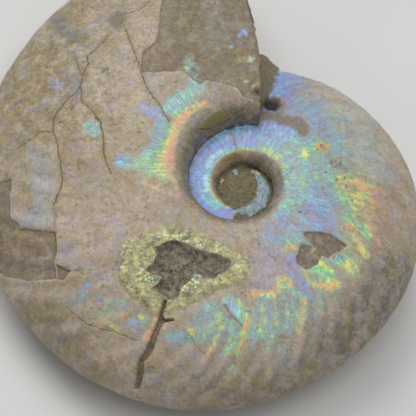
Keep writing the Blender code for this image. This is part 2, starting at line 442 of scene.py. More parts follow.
@dataclass(frozen=True)
class PhotoCamera:
    """The photograph's view of the coil: its pixels are those of a 416 by 416 picture."""

    frame: float = 416.0
    elevation: float = math.radians(63.6)
    roll: float = math.radians(-1.75)
    distance: float = 2055.6
    coil_at: Pair = (239.25, 202.07)
    pixel: float = 0.16
    sensor: float = 36.0
    clip_end: float = 20.0

    def axes(self) -> tuple[np.ndarray, np.ndarray, np.ndarray]:
        """Turn the camera.

        Returns:
            Its right, up and back directions in the coil's frame.
        """
        back = np.array([0.0, -math.cos(self.elevation), math.sin(self.elevation)])
        level = np.array([1.0, 0.0, 0.0])
        above = np.cross(back, level)
        right = math.cos(self.roll) * level - math.sin(self.roll) * above
        up = math.sin(self.roll) * level + math.cos(self.roll) * above
        return right, up, back

    def offset(self) -> Pair:
        """Give the coil's centre, right of and above the middle of the frame, in millimetres."""
        half = self.frame / 2
        return (self.coil_at[0] - half) * self.pixel, (half - self.coil_at[1]) * self.pixel

    def pixels(self, points: np.ndarray) -> np.ndarray:
        """Project points into the photograph.

        Args:
            points: rows of x, y and z in the coil's frame.

        Returns:
            Rows of pixel coordinates.
        """
        right, up, back = self.axes()
        aside, above = self.offset()
        scale = self.distance / (self.distance * self.pixel - points @ back)
        half = self.frame / 2
        across = half + (points @ right + aside) * scale
        down = half - (points @ up + above) * scale
        return np.stack([across, down], axis=-1)

    def build(self, laying: Laying) -> bpy.types.Object:
        """Make the camera, and make it the scene's.

        Args:
            laying: how the coil lies.

        Returns:
            The camera's object.
        """
        right, up, back = self.axes()
        aside, above = self.offset()
        place = back * self.distance * self.pixel - right * aside - up * above
        data = bpy.data.cameras.new("photo_camera")
        data.sensor_width = self.sensor
        data.lens = self.sensor * self.distance / self.frame
        data.clip_end = self.clip_end
        camera = bpy.data.objects.new("photo_camera", data)
        bpy.context.scene.collection.objects.link(camera)
        turned = Matrix((right, up, back)).transposed().to_4x4()
        pose = laying.matrix() @ (Matrix.Translation(Vector(place)) @ turned)
        camera.matrix_world = Matrix.LocRotScale(pose.to_translation(), pose.to_quaternion(), None)
        bpy.context.scene.camera = camera
        return camera


def linear_light(colour: Colour) -> Colour:
    """Turn a screen colour, with parts up to 255, into linear light."""
    shares = (part / SCREEN_WHITE for part in colour)
    return tuple(share / 12.92 if share <= 0.04045 else ((share + 0.055) / 1.055) ** 2.4 for share in shares)


class Tone(Enum):
    """The ground colours of the fossil, as screen colours, and the colours of a painted highlight and of the
    painted shade in the holes.
    """

    BEIGE = (176, 160, 140)
    PINK_BEIGE = (188, 170, 156)
    CREAM = (192, 180, 158)
    OCHRE = (164, 142, 94)
    RUST = (146, 112, 80)
    RESIN = (152, 136, 84)
    OLIVE = (132, 124, 92)
    ASH = (148, 152, 152)
    LAVENDER = (158, 158, 192)
    PALE_BLUE = (160, 171, 183)
    SLATE = (120, 126, 136)
    MIST = (186, 194, 190)
    MAUVE = (142, 128, 124)
    GREY_BEIGE = (150, 142, 130)
    DARK_BEIGE = (124, 114, 98)
    BROWN = (136, 121, 101)
    TAN = (152, 137, 121)
    UMBER = (112, 92, 70)
    STONE = (114, 106, 80)
    WALL = (112, 108, 96)
    CRUST = (176, 170, 122)
    LICHEN = (206, 206, 142)
    CRYSTAL = (136, 129, 86)
    PIT = (124, 118, 102)
    # painted highlight: near-white, laid where the nacre catches the light
    PAINTED_HIGHLIGHT = (196, 238, 250)
    CRACK = (70, 65, 54)
    # painted shade: the near-black brown that fills the holes, for the shade inside them
    HOLLOW = (56, 50, 36)

    def linear(self) -> Colour:
        """Give the colour in linear light."""
        return linear_light(self.value)


class Film(Enum):
    """The colours of the nacre, in the order in which a thickening film shows them."""

    VIOLET = 0.02
    BLUE = 0.14
    SKY = 0.25
    TEAL = 0.36
    GREEN = 0.48
    LIME = 0.60
    YELLOW = 0.70
    ORANGE = 0.80
    ROSE = 0.90
    MAUVE = 0.98


@dataclass(frozen=True)
class Dab:
    """A soft stroke of one ground colour, with its radius in pixels."""

    tone: Tone
    radius: float
    strength: float
    path: Path


@dataclass(frozen=True)
class Sheen:
    """A soft stroke of nacre, with its radius in pixels."""

    film: Film
    radius: float
    strength: float
    path: Path


@dataclass(frozen=True)
class Crack:
    """A thin crack, with its half width in pixels, how dark it is and whether it goes through."""

    half_width: float
    ink: float
    path: Path
    through: bool = False


@dataclass(frozen=True)
class Marks:
    """Where the photograph shows the fossil's cracks, patches, stains and nacre, in pixels."""

    cracks: tuple[Crack, ...] = (
        Crack(0.9, 0.9, "108,35 100,45 87,56 88,64 82,76 80,86 82,102 92,111", True),
        Crack(1.0, 1.0, "92,111 100,122 103,137 104,147 104,155 107,165 111,174", True),
        Crack(0.5, 0.5, "60,188 80,184 100,180 111,190 120,197 127,210 136,219"),
        Crack(0.9, 0.9, "80,86 75,93 65,101 60,108 53,121 53,131 55,137 58,149", True),
        Crack(0.9, 1.0, "58,149 61,170 62,180 61,188 57,196 53,206", True),
        Crack(0.7, 0.8, "53,206 55,218 54,232 56,246 53,262"),
        Crack(0.9, 0.8, "53,132 40,132 33,137 25,143 17,148"),
        Crack(0.6, 0.5, "17,148 8,156 0,165"),
        Crack(0.8, 0.9, "74,57 77,66 81,74"),
        Crack(1.0, 0.8, "125,29 131,43 137,59 142,75 147,88", True),
        Crack(0.9, 0.8, "147,88 153,97 159,104 163,112 169,122", True),
        Crack(0.9, 0.6, "125,14 132,12 140,9 150,2"),
        Crack(0.6, 0.4, "70,63 63,66 55,70"),
        Crack(0.5, 0.6, "24,145 24,170 28,185 31,200"),
        Crack(0.8, 0.6, "45,110 50,115 53,119"),
        Crack(0.8, 0.7, "56,265 65,271 72,271 82,270"),
        Crack(0.9, 0.6, "65,307 75,315 85,324 100,329 115,332 128,338 139,341"),
        Crack(0.6, 0.9, "193,206 184,207 179,215 176,228 172,234"),
        Crack(1.0, 0.7, "225,305 229,313 235,319 243,327"),
        Crack(0.7, 0.6, "183,330 190,337 195,345 205,355"),
        Crack(0.8, 0.9, "222,107 226,113 231,118"),
        Crack(0.8, 0.9, "245,109 238,112 231,118 226,122 215,127 208,130 200,129"),
        Crack(0.7, 0.7, "230,127 233,137 237,150"),
    )
    gape: Path = (
        "164,300 168,300 163,314 164,318 174,319 174,321 163,322 160,330 155,344 151,354 144,363 "
        "143,376 139,390 133,390 136,374 138,360 145,349 150,338 156,324 159,313"
    )
    left_flake: Path = (
        "-14,184 2,180 11,178 9,195 10,219 18,222 19,227 55,232 57,247 54,262 56,279 28,281 5,277 "
        "-14,268"
    )
    top_flake: Path = (
        "170,-50 160,8 158,30 155,41 142,52 141,72 182,70 200,84 206,79 222,83 238,88 243,96 262,104 "
        "262,72 249,0 236,-60"
    )
    small_flake: Path = "57,265 70,270 67,276 63,281 57,279"
    right_flake: Path = (
        "303,232 320,232 330,234 340,240 347,246 337,254 335,258 327,258 322,255 318,263 311,268 "
        "305,269 298,264 296,257 300,250 301,244 306,245 314,246 308,241"
    )
    crust: Path = (
        "115,262 120,246 134,234 152,226 175,222 196,228 216,238 238,248 251,260 252,274 240,284 "
        "218,293 202,302 184,311 168,314 148,312 130,300 118,284"
    )
    pit: Path = (
        "153,246 160,246 168,241 176,240 190,246 205,252 222,256 232,262 228,271 214,279 204,279 "
        "195,274 190,282 182,287 178,298 169,300 160,294 150,289 158,284 161,277 143,272 152,264 "
        "156,255"
    )
    crystal: Path = "199,128 204,119 212,112 223,107 232,117 226,121 216,127 206,129"
    island: Path = (
        "250,170 257,171 261,175 266,181 270,188 270,194 267,199 266,206 259,211 254,215 250,219 "
        "247,214 242,216 238,213 234,216 234,210 242,208 250,204 256,196 258,186 256,178"
    )
    core_stone: Path = (
        "214,180 222,172 238,166 256,167 274,176 279,192 276,206 264,218 250,227 236,227 232,222 "
        "236,211 226,206 216,194"
    )
    stain: Path = "106,20 109,13 117,10 125,12 128,18 124,27 116,30 109,27"
    dark_hole: Path = "263,101 270,97 278,99 280,106 276,111 267,110 262,106"
    hollow: Path = "251,88 257,84 263,88 262,95 256,97 251,94"
    specks: Path = (
        "317,150 321,146 331,163 335,167 340,163 326,172 330,186 336,180 344,178 346,187 322,190 "
        "352,200 300,212 126,148 133,152 96,118 60,122 72,106 142,122 138,133"
    )


@dataclass(frozen=True)
class Brushwork:
    """The ground colours and the nacre, painted in order, later strokes over earlier ones, with painted shade
    along the lower rim and painted highlights.
    """

    ground: tuple[Dab, ...] = (
        Dab(Tone.OCHRE, 22, 0.4, "20,130 28,90 50,55 80,25"),
        Dab(Tone.TAN, 10, 0.85, "210,88 224,91 236,98 250,104"),
        Dab(Tone.PALE_BLUE, 2, 0.6, "215,84 213,94 211,102"),
        Dab(Tone.RUST, 5, 2.0, "218,170 226,161 238,157"),
        Dab(Tone.TAN, 5, 1.0, "246,156 260,161 270,168 277,182 276,204"),
        Dab(Tone.STONE, 7, 0.9, "256,106 266,92 276,96 280,106 270,114"),
        Dab(Tone.MIST, 18, 0.75, "330,100 356,124 378,165"),
        Dab(Tone.SLATE, 8, 0.9, "58,20 66,28 73,36"),
        Dab(Tone.SLATE, 7, 0.4, "84,34 92,28"),
        Dab(Tone.CREAM, 5, 0.6, "40,38 52,30"),
        Dab(Tone.OCHRE, 8, 0.7, "34,78 44,70"),
        Dab(Tone.OCHRE, 7, 0.5, "76,22 92,12"),
        Dab(Tone.LAVENDER, 10, 1.0, "60,84 70,80 74,90"),
        Dab(Tone.BEIGE, 9, 0.6, "45,95 55,100"),
        Dab(Tone.GREY_BEIGE, 10, 0.5, "10,150 30,125 40,118"),
        Dab(Tone.OCHRE, 8, 0.6, "60,118 72,124 66,132"),
        Dab(Tone.MAUVE, 7, 0.7, "66,144 72,142"),
        Dab(Tone.OCHRE, 10, 0.5, "72,158 82,165 96,160"),
        Dab(Tone.MAUVE, 6, 0.7, "80,168 88,165 94,168"),
        Dab(Tone.PALE_BLUE, 12, 0.75, "36,158 42,178 38,205 30,215"),
        Dab(Tone.PALE_BLUE, 6, 0.6, "48,218 30,224"),
        Dab(Tone.OCHRE, 4, 0.8, "21,185 27,200"),
        Dab(Tone.BEIGE, 7, 0.8, "16,185 18,212"),
        Dab(Tone.OCHRE, 6, 0.5, "66,240 74,238"),
        Dab(Tone.RUST, 6, 0.3, "98,250 106,262 88,262"),
        Dab(Tone.PINK_BEIGE, 18, 0.6, "110,60 125,80 128,100"),
        Dab(Tone.OCHRE, 8, 0.35, "122,112 116,135 140,138"),
        Dab(Tone.LICHEN, 7, 0.35, "136,100 134,116 142,126"),
        Dab(Tone.OCHRE, 3, 0.8, "84,70 90,92 100,112"),
        Dab(Tone.OCHRE, 3, 0.7, "62,150 66,172 64,190"),
        Dab(Tone.OCHRE, 4, 0.7, "104,150 112,166 126,176 134,190"),
        Dab(Tone.PINK_BEIGE, 20, 0.8, "76,222 96,238 110,225 140,212"),
        Dab(Tone.CREAM, 7, 0.5, "60,215 66,230 84,238"),
        Dab(Tone.CREAM, 9, 0.5, "96,62 102,74 98,84"),
        Dab(Tone.LAVENDER, 5, 0.6, "68,246 62,256"),
        Dab(Tone.PALE_BLUE, 5, 0.6, "75,269 88,266"),
        # painted shade: the lower-left rim darker, where the shell turns away from the light
        Dab(Tone.DARK_BEIGE, 16, 0.75, "30,305 50,328 80,350 110,368"),
        Dab(Tone.OLIVE, 9, 0.6, "45,308 60,316"),
        Dab(Tone.OLIVE, 7, 0.5, "85,330 100,340 112,346"),
        Dab(Tone.GREY_BEIGE, 10, 0.5, "80,290 70,300"),
        Dab(Tone.PINK_BEIGE, 12, 0.7, "96,345 118,352 130,366"),
        Dab(Tone.GREY_BEIGE, 26, 0.85, "170,380 230,388 300,372 350,335 380,290"),
        Dab(Tone.OCHRE, 7, 0.6, "246,372 256,378"),
        Dab(Tone.OCHRE, 5, 0.4, "286,362 292,352"),
        Dab(Tone.CREAM, 3, 0.9, "268,352 270,372 266,384"),
        Dab(Tone.CREAM, 3, 0.8, "240,352 236,368 228,386"),
        Dab(Tone.CREAM, 3, 0.6, "206,356 200,368 192,380"),
        Dab(Tone.PINK_BEIGE, 3, 0.7, "300,336 298,352 292,368"),
        # painted shade: the lower rim darker, where the shell turns away from the light
        Dab(Tone.DARK_BEIGE, 20, 0.8, "200,402 260,402 330,376 374,326 396,285"),
        Dab(Tone.PINK_BEIGE, 12, 0.4, "390,165 400,200 402,240"),
        # painted shade: the lower right rim darker still, by this dab and the next two
        Dab(Tone.WALL, 20, 0.9, "338,342 370,310 390,276"),
        Dab(Tone.SLATE, 24, 0.3, "330,352 368,316 388,276"),
        Dab(Tone.CRACK, 20, 0.16, "345,342 372,306 392,272"),
        # painted highlight: a pale line along the upper right edge, where the rim catches the light
        Dab(Tone.CREAM, 3, 0.6, "312,88 340,102 366,124 384,146"),
        Dab(Tone.MAUVE, 9, 0.4, "388,188 392,215 386,240"),
        Dab(Tone.PINK_BEIGE, 12, 0.9, "262,262 272,250 262,282"),
        Dab(Tone.LAVENDER, 12, 0.5, "262,262 272,250 262,282"),
        Dab(Tone.ASH, 10, 0.5, "282,180 288,196 284,210"),
        Dab(Tone.PINK_BEIGE, 8, 0.5, "215,230 235,236 255,240"),
        Dab(Tone.CREAM, 3, 0.6, "160,317 185,311 200,300 230,288 250,272"),
        Dab(Tone.WALL, 1.5, 0.8, "325,309 327,309"),
        Dab(Tone.WALL, 1.5, 0.7, "336,289 337,291"),
        Dab(Tone.GREY_BEIGE, 9, 0.7, "180,190 182,170 186,145 196,122"),
        Dab(Tone.BROWN, 4, 0.8, "165,50 150,62 168,66"),
    )
    soil: tuple[Dab, ...] = (
        Dab(Tone.BROWN, 5, 0.9, "256,110 270,116 284,118"),
        Dab(Tone.BROWN, 6, 0.95, "286,120 298,123"),
        Dab(Tone.BROWN, 4.5, 0.9, "300,125 306,130"),
        Dab(Tone.BROWN, 3, 0.8, "328,335 330,337"),
        Dab(Tone.BROWN, 2.5, 0.7, "353,319 353,321"),
        Dab(Tone.BROWN, 6, 0.8, "262,98 272,104 278,104"),
        Dab(Tone.BROWN, 3, 0.5, "330,158 338,164 346,170"),
    )
    nacre: tuple[Sheen, ...] = (
        Sheen(Film.TEAL, 28, 0.5, "300,120 335,150 345,190 335,225 318,270"),
        Sheen(Film.TEAL, 22, 0.55, "310,290 280,318 240,330 210,325"),
        Sheen(Film.SKY, 20, 0.32, "290,96 304,110 314,130"),
        Sheen(Film.SKY, 18, 0.5, "272,228 292,236 316,218"),
        Sheen(Film.SKY, 14, 0.25, "350,112 376,145 386,180"),
        Sheen(Film.SKY, 9, 0.8, "240,130 256,134 272,146"),
        Sheen(Film.TEAL, 12, 0.7, "262,142 284,154 292,176 291,200 282,220"),
        Sheen(Film.LIME, 2.5, 0.5, "246,147 262,149 276,156 284,168"),
        Sheen(Film.TEAL, 9, 0.6, "204,334 190,338 176,336"),
        Sheen(Film.TEAL, 9, 0.7, "196,84 190,96"),
        Sheen(Film.TEAL, 8, 0.85, "182,98 170,106 180,108"),
        Sheen(Film.BLUE, 6, 0.55, "146,108 152,116"),
        Sheen(Film.SKY, 6, 0.75, "158,112 162,122 158,132"),
        Sheen(Film.TEAL, 8, 0.75, "166,130 158,142 150,152 146,160"),
        Sheen(Film.SKY, 6, 0.6, "122,160 132,163"),
        Sheen(Film.GREEN, 8, 0.8, "140,165 148,170 158,165"),
        Sheen(Film.LIME, 5, 0.85, "174,126 170,138 163,152 160,166 166,178"),
        Sheen(Film.YELLOW, 4, 0.8, "196,106 186,112 178,120"),
        Sheen(Film.YELLOW, 3, 0.9, "178,124 174,136 168,152 166,164"),
        Sheen(Film.ORANGE, 3, 0.95, "205,104 194,110 186,117 179,124 174,134"),
        Sheen(Film.ORANGE, 3, 0.8, "172,140 170,152 169,164 170,176"),
        Sheen(Film.ORANGE, 3, 0.7, "174,152 173,166 174,178 178,194"),
        Sheen(Film.YELLOW, 2, 0.9, "142,183 150,187 158,190"),
        Sheen(Film.ROSE, 2, 0.8, "144,181 160,188 176,197"),
        Sheen(Film.TEAL, 5, 0.7, "90,128 96,124 97,131"),
        Sheen(Film.ROSE, 1.5, 0.6, "93,114 99,121"),
        Sheen(Film.BLUE, 8, 0.45, "286,96 298,100 308,110"),
        Sheen(Film.VIOLET, 4, 0.7, "289,98 288,106"),
        Sheen(Film.SKY, 16, 0.5, "310,112 330,124 322,136"),
        Sheen(Film.TEAL, 18, 0.25, "345,110 365,140 370,165"),
        Sheen(Film.SKY, 10, 0.75, "262,128 280,136 300,138 310,150"),
        Sheen(Film.BLUE, 5, 0.75, "270,130 284,126 296,136"),
        Sheen(Film.TEAL, 16, 0.68, "300,150 310,170 308,190 318,205"),
        Sheen(Film.TEAL, 6, 0.8, "315,145 305,160 302,200"),
        Sheen(Film.TEAL, 10, 0.65, "325,165 335,185 330,200"),
        Sheen(Film.LIME, 3, 0.7, "303,150 306,156"),
        Sheen(Film.GREEN, 3, 0.7, "301,176 304,188"),
        Sheen(Film.ORANGE, 4, 0.5, "318,146 326,148"),
        Sheen(Film.SKY, 12, 0.48, "320,200 335,205 325,218"),
        Sheen(Film.TEAL, 10, 0.8, "345,195 358,200 350,215"),
        Sheen(Film.LIME, 4, 0.8, "340,178 355,180 366,188"),
        Sheen(Film.YELLOW, 5, 0.8, "362,192 372,194 376,202"),
        Sheen(Film.ORANGE, 4, 0.7, "370,184 378,190"),
        Sheen(Film.YELLOW, 14, 0.42, "358,186 368,206 366,232 356,254"),
        Sheen(Film.ROSE, 6, 0.5, "378,196 384,208 380,222"),
        Sheen(Film.GREEN, 5, 0.8, "346,218 358,226 368,236"),
        Sheen(Film.LIME, 4, 0.85, "352,236 362,246 366,256"),
        Sheen(Film.ORANGE, 3, 0.7, "348,226 360,240"),
        Sheen(Film.ROSE, 4, 0.5, "376,236 380,246"),
        Sheen(Film.SKY, 12, 0.48, "284,224 296,234 304,222"),
        Sheen(Film.TEAL, 6, 0.7, "288,242 300,240"),
        Sheen(Film.BLUE, 8, 0.36, "312,214 322,222"),
        Sheen(Film.LIME, 8, 0.8, "338,258 348,262 352,270"),
        Sheen(Film.TEAL, 6, 0.6, "342,256 334,262"),
        Sheen(Film.VIOLET, 8, 0.52, "290,258 296,272 302,288"),
        Sheen(Film.ORANGE, 2.5, 0.7, "284,252 288,246 296,248"),
        Sheen(Film.ROSE, 1.8, 0.9, "301,262 304,272 310,282"),
        Sheen(Film.LIME, 9, 1.0, "318,264 322,272 328,276"),
        Sheen(Film.GREEN, 6, 1.0, "314,268 320,274 328,278"),
        Sheen(Film.YELLOW, 4, 0.8, "312,284 326,287 338,284"),
        Sheen(Film.LIME, 5, 0.9, "282,280 287,288 290,294"),
        Sheen(Film.ORANGE, 3, 0.8, "283,276 292,284"),
        Sheen(Film.YELLOW, 4, 0.7, "252,292 256,300"),
        Sheen(Film.ROSE, 4, 0.9, "258,292 264,297 276,292"),
        Sheen(Film.ORANGE, 3, 0.8, "238,300 243,308"),
        Sheen(Film.GREEN, 7, 0.6, "270,298 276,304"),
        Sheen(Film.TEAL, 9, 0.55, "286,300 294,310 296,322"),
        Sheen(Film.ORANGE, 2, 0.8, "304,298 302,314 299,332"),
        Sheen(Film.SKY, 8, 0.5, "262,306 270,322 268,340"),
        Sheen(Film.GREEN, 8, 0.85, "228,302 236,308 244,316"),
        Sheen(Film.SKY, 5, 0.8, "230,306 236,312"),
        Sheen(Film.TEAL, 10, 0.65, "210,308 208,322 214,334"),
        Sheen(Film.TEAL, 10, 0.6, "228,322 236,332 236,344"),
        Sheen(Film.LIME, 2.5, 0.9, "218,312 220,326 217,338"),
        Sheen(Film.ORANGE, 1.5, 0.95, "221,320 219,336 213,346 207,355"),
        Sheen(Film.LIME, 2.5, 0.85, "244,306 247,322 244,340 238,356"),
        Sheen(Film.ORANGE, 1.4, 0.7, "248,318 246,336 241,352"),
        Sheen(Film.ORANGE, 1.4, 0.8, "272,296 276,312 274,332 268,350"),
        Sheen(Film.GREEN, 2.5, 0.85, "232,322 231,338 226,352"),
        Sheen(Film.LIME, 2, 0.8, "262,304 264,318 260,334"),
        Sheen(Film.GREEN, 2.5, 0.75, "286,302 289,316 286,332"),
        Sheen(Film.TEAL, 10, 0.36, "198,332 182,336 172,342"),
        Sheen(Film.YELLOW, 2, 0.8, "190,328 192,333"),
        Sheen(Film.TEAL, 12, 0.3, "260,345 280,340 280,360"),
        Sheen(Film.GREEN, 9, 0.35, "225,360 230,372"),
        Sheen(Film.SKY, 13, 0.3, "86,296 112,312 140,324"),
        Sheen(Film.LIME, 4, 0.55, "112,302 106,310 100,318"),
        Sheen(Film.TEAL, 5, 0.4, "120,300 114,312 108,320"),
        Sheen(Film.ROSE, 2, 0.8, "108,318 102,324 96,328"),
        Sheen(Film.SKY, 8, 0.38, "126,322 134,326 144,322"),
        Sheen(Film.YELLOW, 3, 0.8, "112,326 116,329"),
        Sheen(Film.YELLOW, 2.5, 0.8, "140,316 146,320"),
        Sheen(Film.ORANGE, 3, 0.85, "156,320 150,330 146,338"),
        Sheen(Film.ROSE, 3, 0.5, "126,316 118,322"),
        Sheen(Film.SKY, 7, 0.36, "88,288 78,298 72,306"),
        Sheen(Film.ROSE, 2, 0.6, "92,300 84,310"),
    )
    bare: tuple[Dab, ...] = (
        Dab(Tone.OLIVE, 17, 0.75, "190,-10 190,30 215,45 240,60"),
        Dab(Tone.TAN, 9, 0.8, "165,10 164,30 150,60"),
        Dab(Tone.GREY_BEIGE, 9, 0.8, "212,2 213,18 220,34 212,46"),
        Dab(Tone.ASH, 4, 0.5, "232,24 244,30 238,40"),
        Dab(Tone.OCHRE, 2.5, 0.8, "203,41 203,43"),
        Dab(Tone.OCHRE, 2.5, 0.8, "203,57 203,59"),
        Dab(Tone.OCHRE, 6, 0.5, "240,52 246,60"),
        Dab(Tone.BROWN, 5, 0.6, "198,40 200,52 206,62"),
        Dab(Tone.MAUVE, 3, 0.7, "240,65 256,66"),
        Dab(Tone.TAN, 7, 0.6, "222,74 236,78"),
        Dab(Tone.OLIVE, 9, 0.6, "248,90 256,98"),
        Dab(Tone.RUST, 9, 0.3, "12,240 25,236 42,240"),
        Dab(Tone.UMBER, 5, 0.4, "8,262 18,268"),
        Dab(Tone.OCHRE, 5, 0.5, "18,234 30,230"),
        Dab(Tone.MAUVE, 6, 0.5, "36,262 48,268"),
        Dab(Tone.CREAM, 1.5, 0.5, "28,240 36,236 44,243 50,254 42,262 30,258"),
        Dab(Tone.DARK_BEIGE, 14, 0.8, "300,240 325,245 340,248"),
        Dab(Tone.MAUVE, 14, 0.3, "300,240 325,245 340,248"),
        Dab(Tone.UMBER, 14, 0.35, "300,252 325,245 340,248"),
        Dab(Tone.CREAM, 2, 0.6, "308,240 314,247 312,256"),
    )
    bare_nacre: tuple[Sheen, ...] = (
        Sheen(Film.BLUE, 2.2, 0.8, "240,34 244,30 246,33"),
        Sheen(Film.SKY, 1.6, 0.8, "231,46 232,46"),
        Sheen(Film.BLUE, 1.6, 0.7, "240,42 242,42"),
        Sheen(Film.GREEN, 1.8, 0.9, "250,57 254,57"),
        Sheen(Film.YELLOW, 1.6, 0.9, "248,60 251,60"),
        Sheen(Film.ROSE, 1.6, 0.9, "245,80 247,80"),
        Sheen(Film.ROSE, 1.4, 0.8, "252,87 253,87"),
        Sheen(Film.TEAL, 7, 0.4, "186,60 192,68 196,76"),
        Sheen(Film.LIME, 1.5, 0.7, "185,66 187,67"),
        Sheen(Film.ORANGE, 1.5, 0.6, "330,258 338,252"),
    )
    sparkle: tuple[Sheen, ...] = (
        Sheen(Film.GREEN, 5, 1.0, "144,274 150,282 160,289"),
        Sheen(Film.GREEN, 5, 1.0, "184,286 196,279 210,282"),
        Sheen(Film.GREEN, 3, 0.7, "160,238 182,238 200,246"),
        Sheen(Film.GREEN, 5, 0.5, "124,268 122,254 132,240"),
        Sheen(Film.GREEN, 4, 0.5, "224,276 240,268"),
    )
    core_nacre: tuple[Sheen, ...] = (
        Sheen(Film.TEAL, 2.2, 0.9, "235,171 236,173"),
        Sheen(Film.MAUVE, 1.5, 0.8, "222,180 221,182"),
        Sheen(Film.ROSE, 1.8, 0.9, "252,171 256,172"),
        Sheen(Film.YELLOW, 1.4, 0.8, "257,174 259,175"),
    )
    whorl_glow: float = 0.85
    inner_nacre: tuple[Sheen, ...] = (
        Sheen(Film.VIOLET, 8, 0.95, "202,206 214,216 226,222"),
        Sheen(Film.BLUE, 8, 0.9, "197,164 196,180 200,198"),
        Sheen(Film.BLUE, 7, 0.8, "202,152 210,142 220,136"),
        Sheen(Film.TEAL, 4, 0.9, "202,188 208,198 216,206"),
        Sheen(Film.SKY, 5, 0.9, "208,166 206,176"),
        Sheen(Film.SKY, 6, 0.8, "230,130 246,128"),
        Sheen(Film.TEAL, 2, 0.8, "221,137 220,130"),
        Sheen(Film.TEAL, 2.5, 0.7, "213,160 218,153 226,149"),
        Sheen(Film.YELLOW, 1.5, 0.6, "236,148 250,149 262,151 270,154"),
        Sheen(Film.ORANGE, 1.5, 0.6, "210,184 212,192 218,200"),
    )
    # painted highlights: near-white strokes where the nacre catches the light
    shine: tuple[Sheen, ...] = (
        Sheen(Film.SKY, 3.5, 0.9, "208,165 212,157 222,151"),
        Sheen(Film.SKY, 3, 1.1, "205,177 206,183 207,190"),
        Sheen(Film.SKY, 5, 0.45, "198,160 198,178 204,196"),
        Sheen(Film.SKY, 4, 0.6, "238,144 246,136 254,130 266,128"),
        Sheen(Film.SKY, 1.4, 0.45, "276,141 292,127"),
        Sheen(Film.SKY, 6, 0.5, "222,140 236,134 250,132"),
        Sheen(Film.SKY, 5, 0.75, "226,304 238,312"),
    )


@dataclass(frozen=True)
class Terrace:
    """A step up or down inside one of the outlines, in millimetres, plain or as high as a random field."""

    outline: str
    height: float
    slope: float
    start: float = 0.0
    grain: Grain | None = None

    def at(self, depth: np.ndarray, points: np.ndarray) -> np.ndarray:
        """Give how far the surface is moved.

        Args:
            depth: how deep each point is inside the outline.
            points: rows of x, y and z.

        Returns:
            Distances in millimetres.
        """
        step = self.height * ease(depth / self.slope + self.start)
        return step if self.grain is None else step * self.grain.at(points)


@dataclass(frozen=True)
class Relief:
    """How far the finer forms stand above or below the smooth coil, in millimetres."""

    terraces: tuple[Terrace, ...] = (
        Terrace("flakes", -0.3, 0.25, 0.5),
        Terrace("crust", 0.28, 1.2),
        Terrace("crust", 0.09, 0.5, grain=Grain(0.8, 5.0)),
        Terrace("pit", -0.92, 1.1),
        Terrace("pit", -0.345, 1.1, grain=Grain(2.2, 9.0, 1)),
        Terrace("pit", 0.35, 0.3, grain=Grain(0.9, 13.0)),
        Terrace("gape", -0.9, 0.3, 0.3),
        Terrace("dark_hole", -0.8, 1.2, 0.3),
        Terrace("hollow", -0.4, 0.4),
        Terrace("core_stone", 0.16, 0.4, grain=Grain(1.1, 21.0)),
        Terrace("island", 0.14, 0.12, 0.5),
        Terrace("crystal", 0.12, 0.1),
    )
    crack: float = 0.16
    crack_reach: float = 0.16
    seam: float = 0.2
    seam_reach: float = 0.45
    rib: float = 0.1
    ribs_a_turn: float = 58.0
    rib_from: float = 0.4
    rib_full: float = 0.7
    rib_end: float = 1.03
    rib_fade: float = 0.1
    dent: float = 0.16
    dents: Grain = Grain(9.0, 31.0, 2)
    break_height: float = 0.55
    break_grain: Grain = Grain(2.4, 41.0, 4)
    break_rim: float = 1.1
    break_slope: float = 1.2


@dataclass(frozen=True)
class Spacing:
    """How close the mesh's points lie, and how that changes over the shell, in millimetres."""

    columns: int = 96
    upper_rows: int = 36
    lower_rows: int = 18
    seam_row: int = 10
    break_columns: int = 10
    upper: float = 0.7
    lower: float = 1.5
    lower_fade: float = 4.0
    umbilicus: float = 0.36
    umbilicus_reach: float = 8.0
    umbilicus_fade: float = 2.0
    crust: float = 0.34
    rough: float = 0.3
    crack: float = 0.15
    crack_reach: float = 0.28
    edge: float = 0.25
    edge_reach: float = 0.3
    broken: float = 0.8
    growth: float = 1.4
    slack: float = 1.35
    passes: int = 7
    weld: float = 0.001


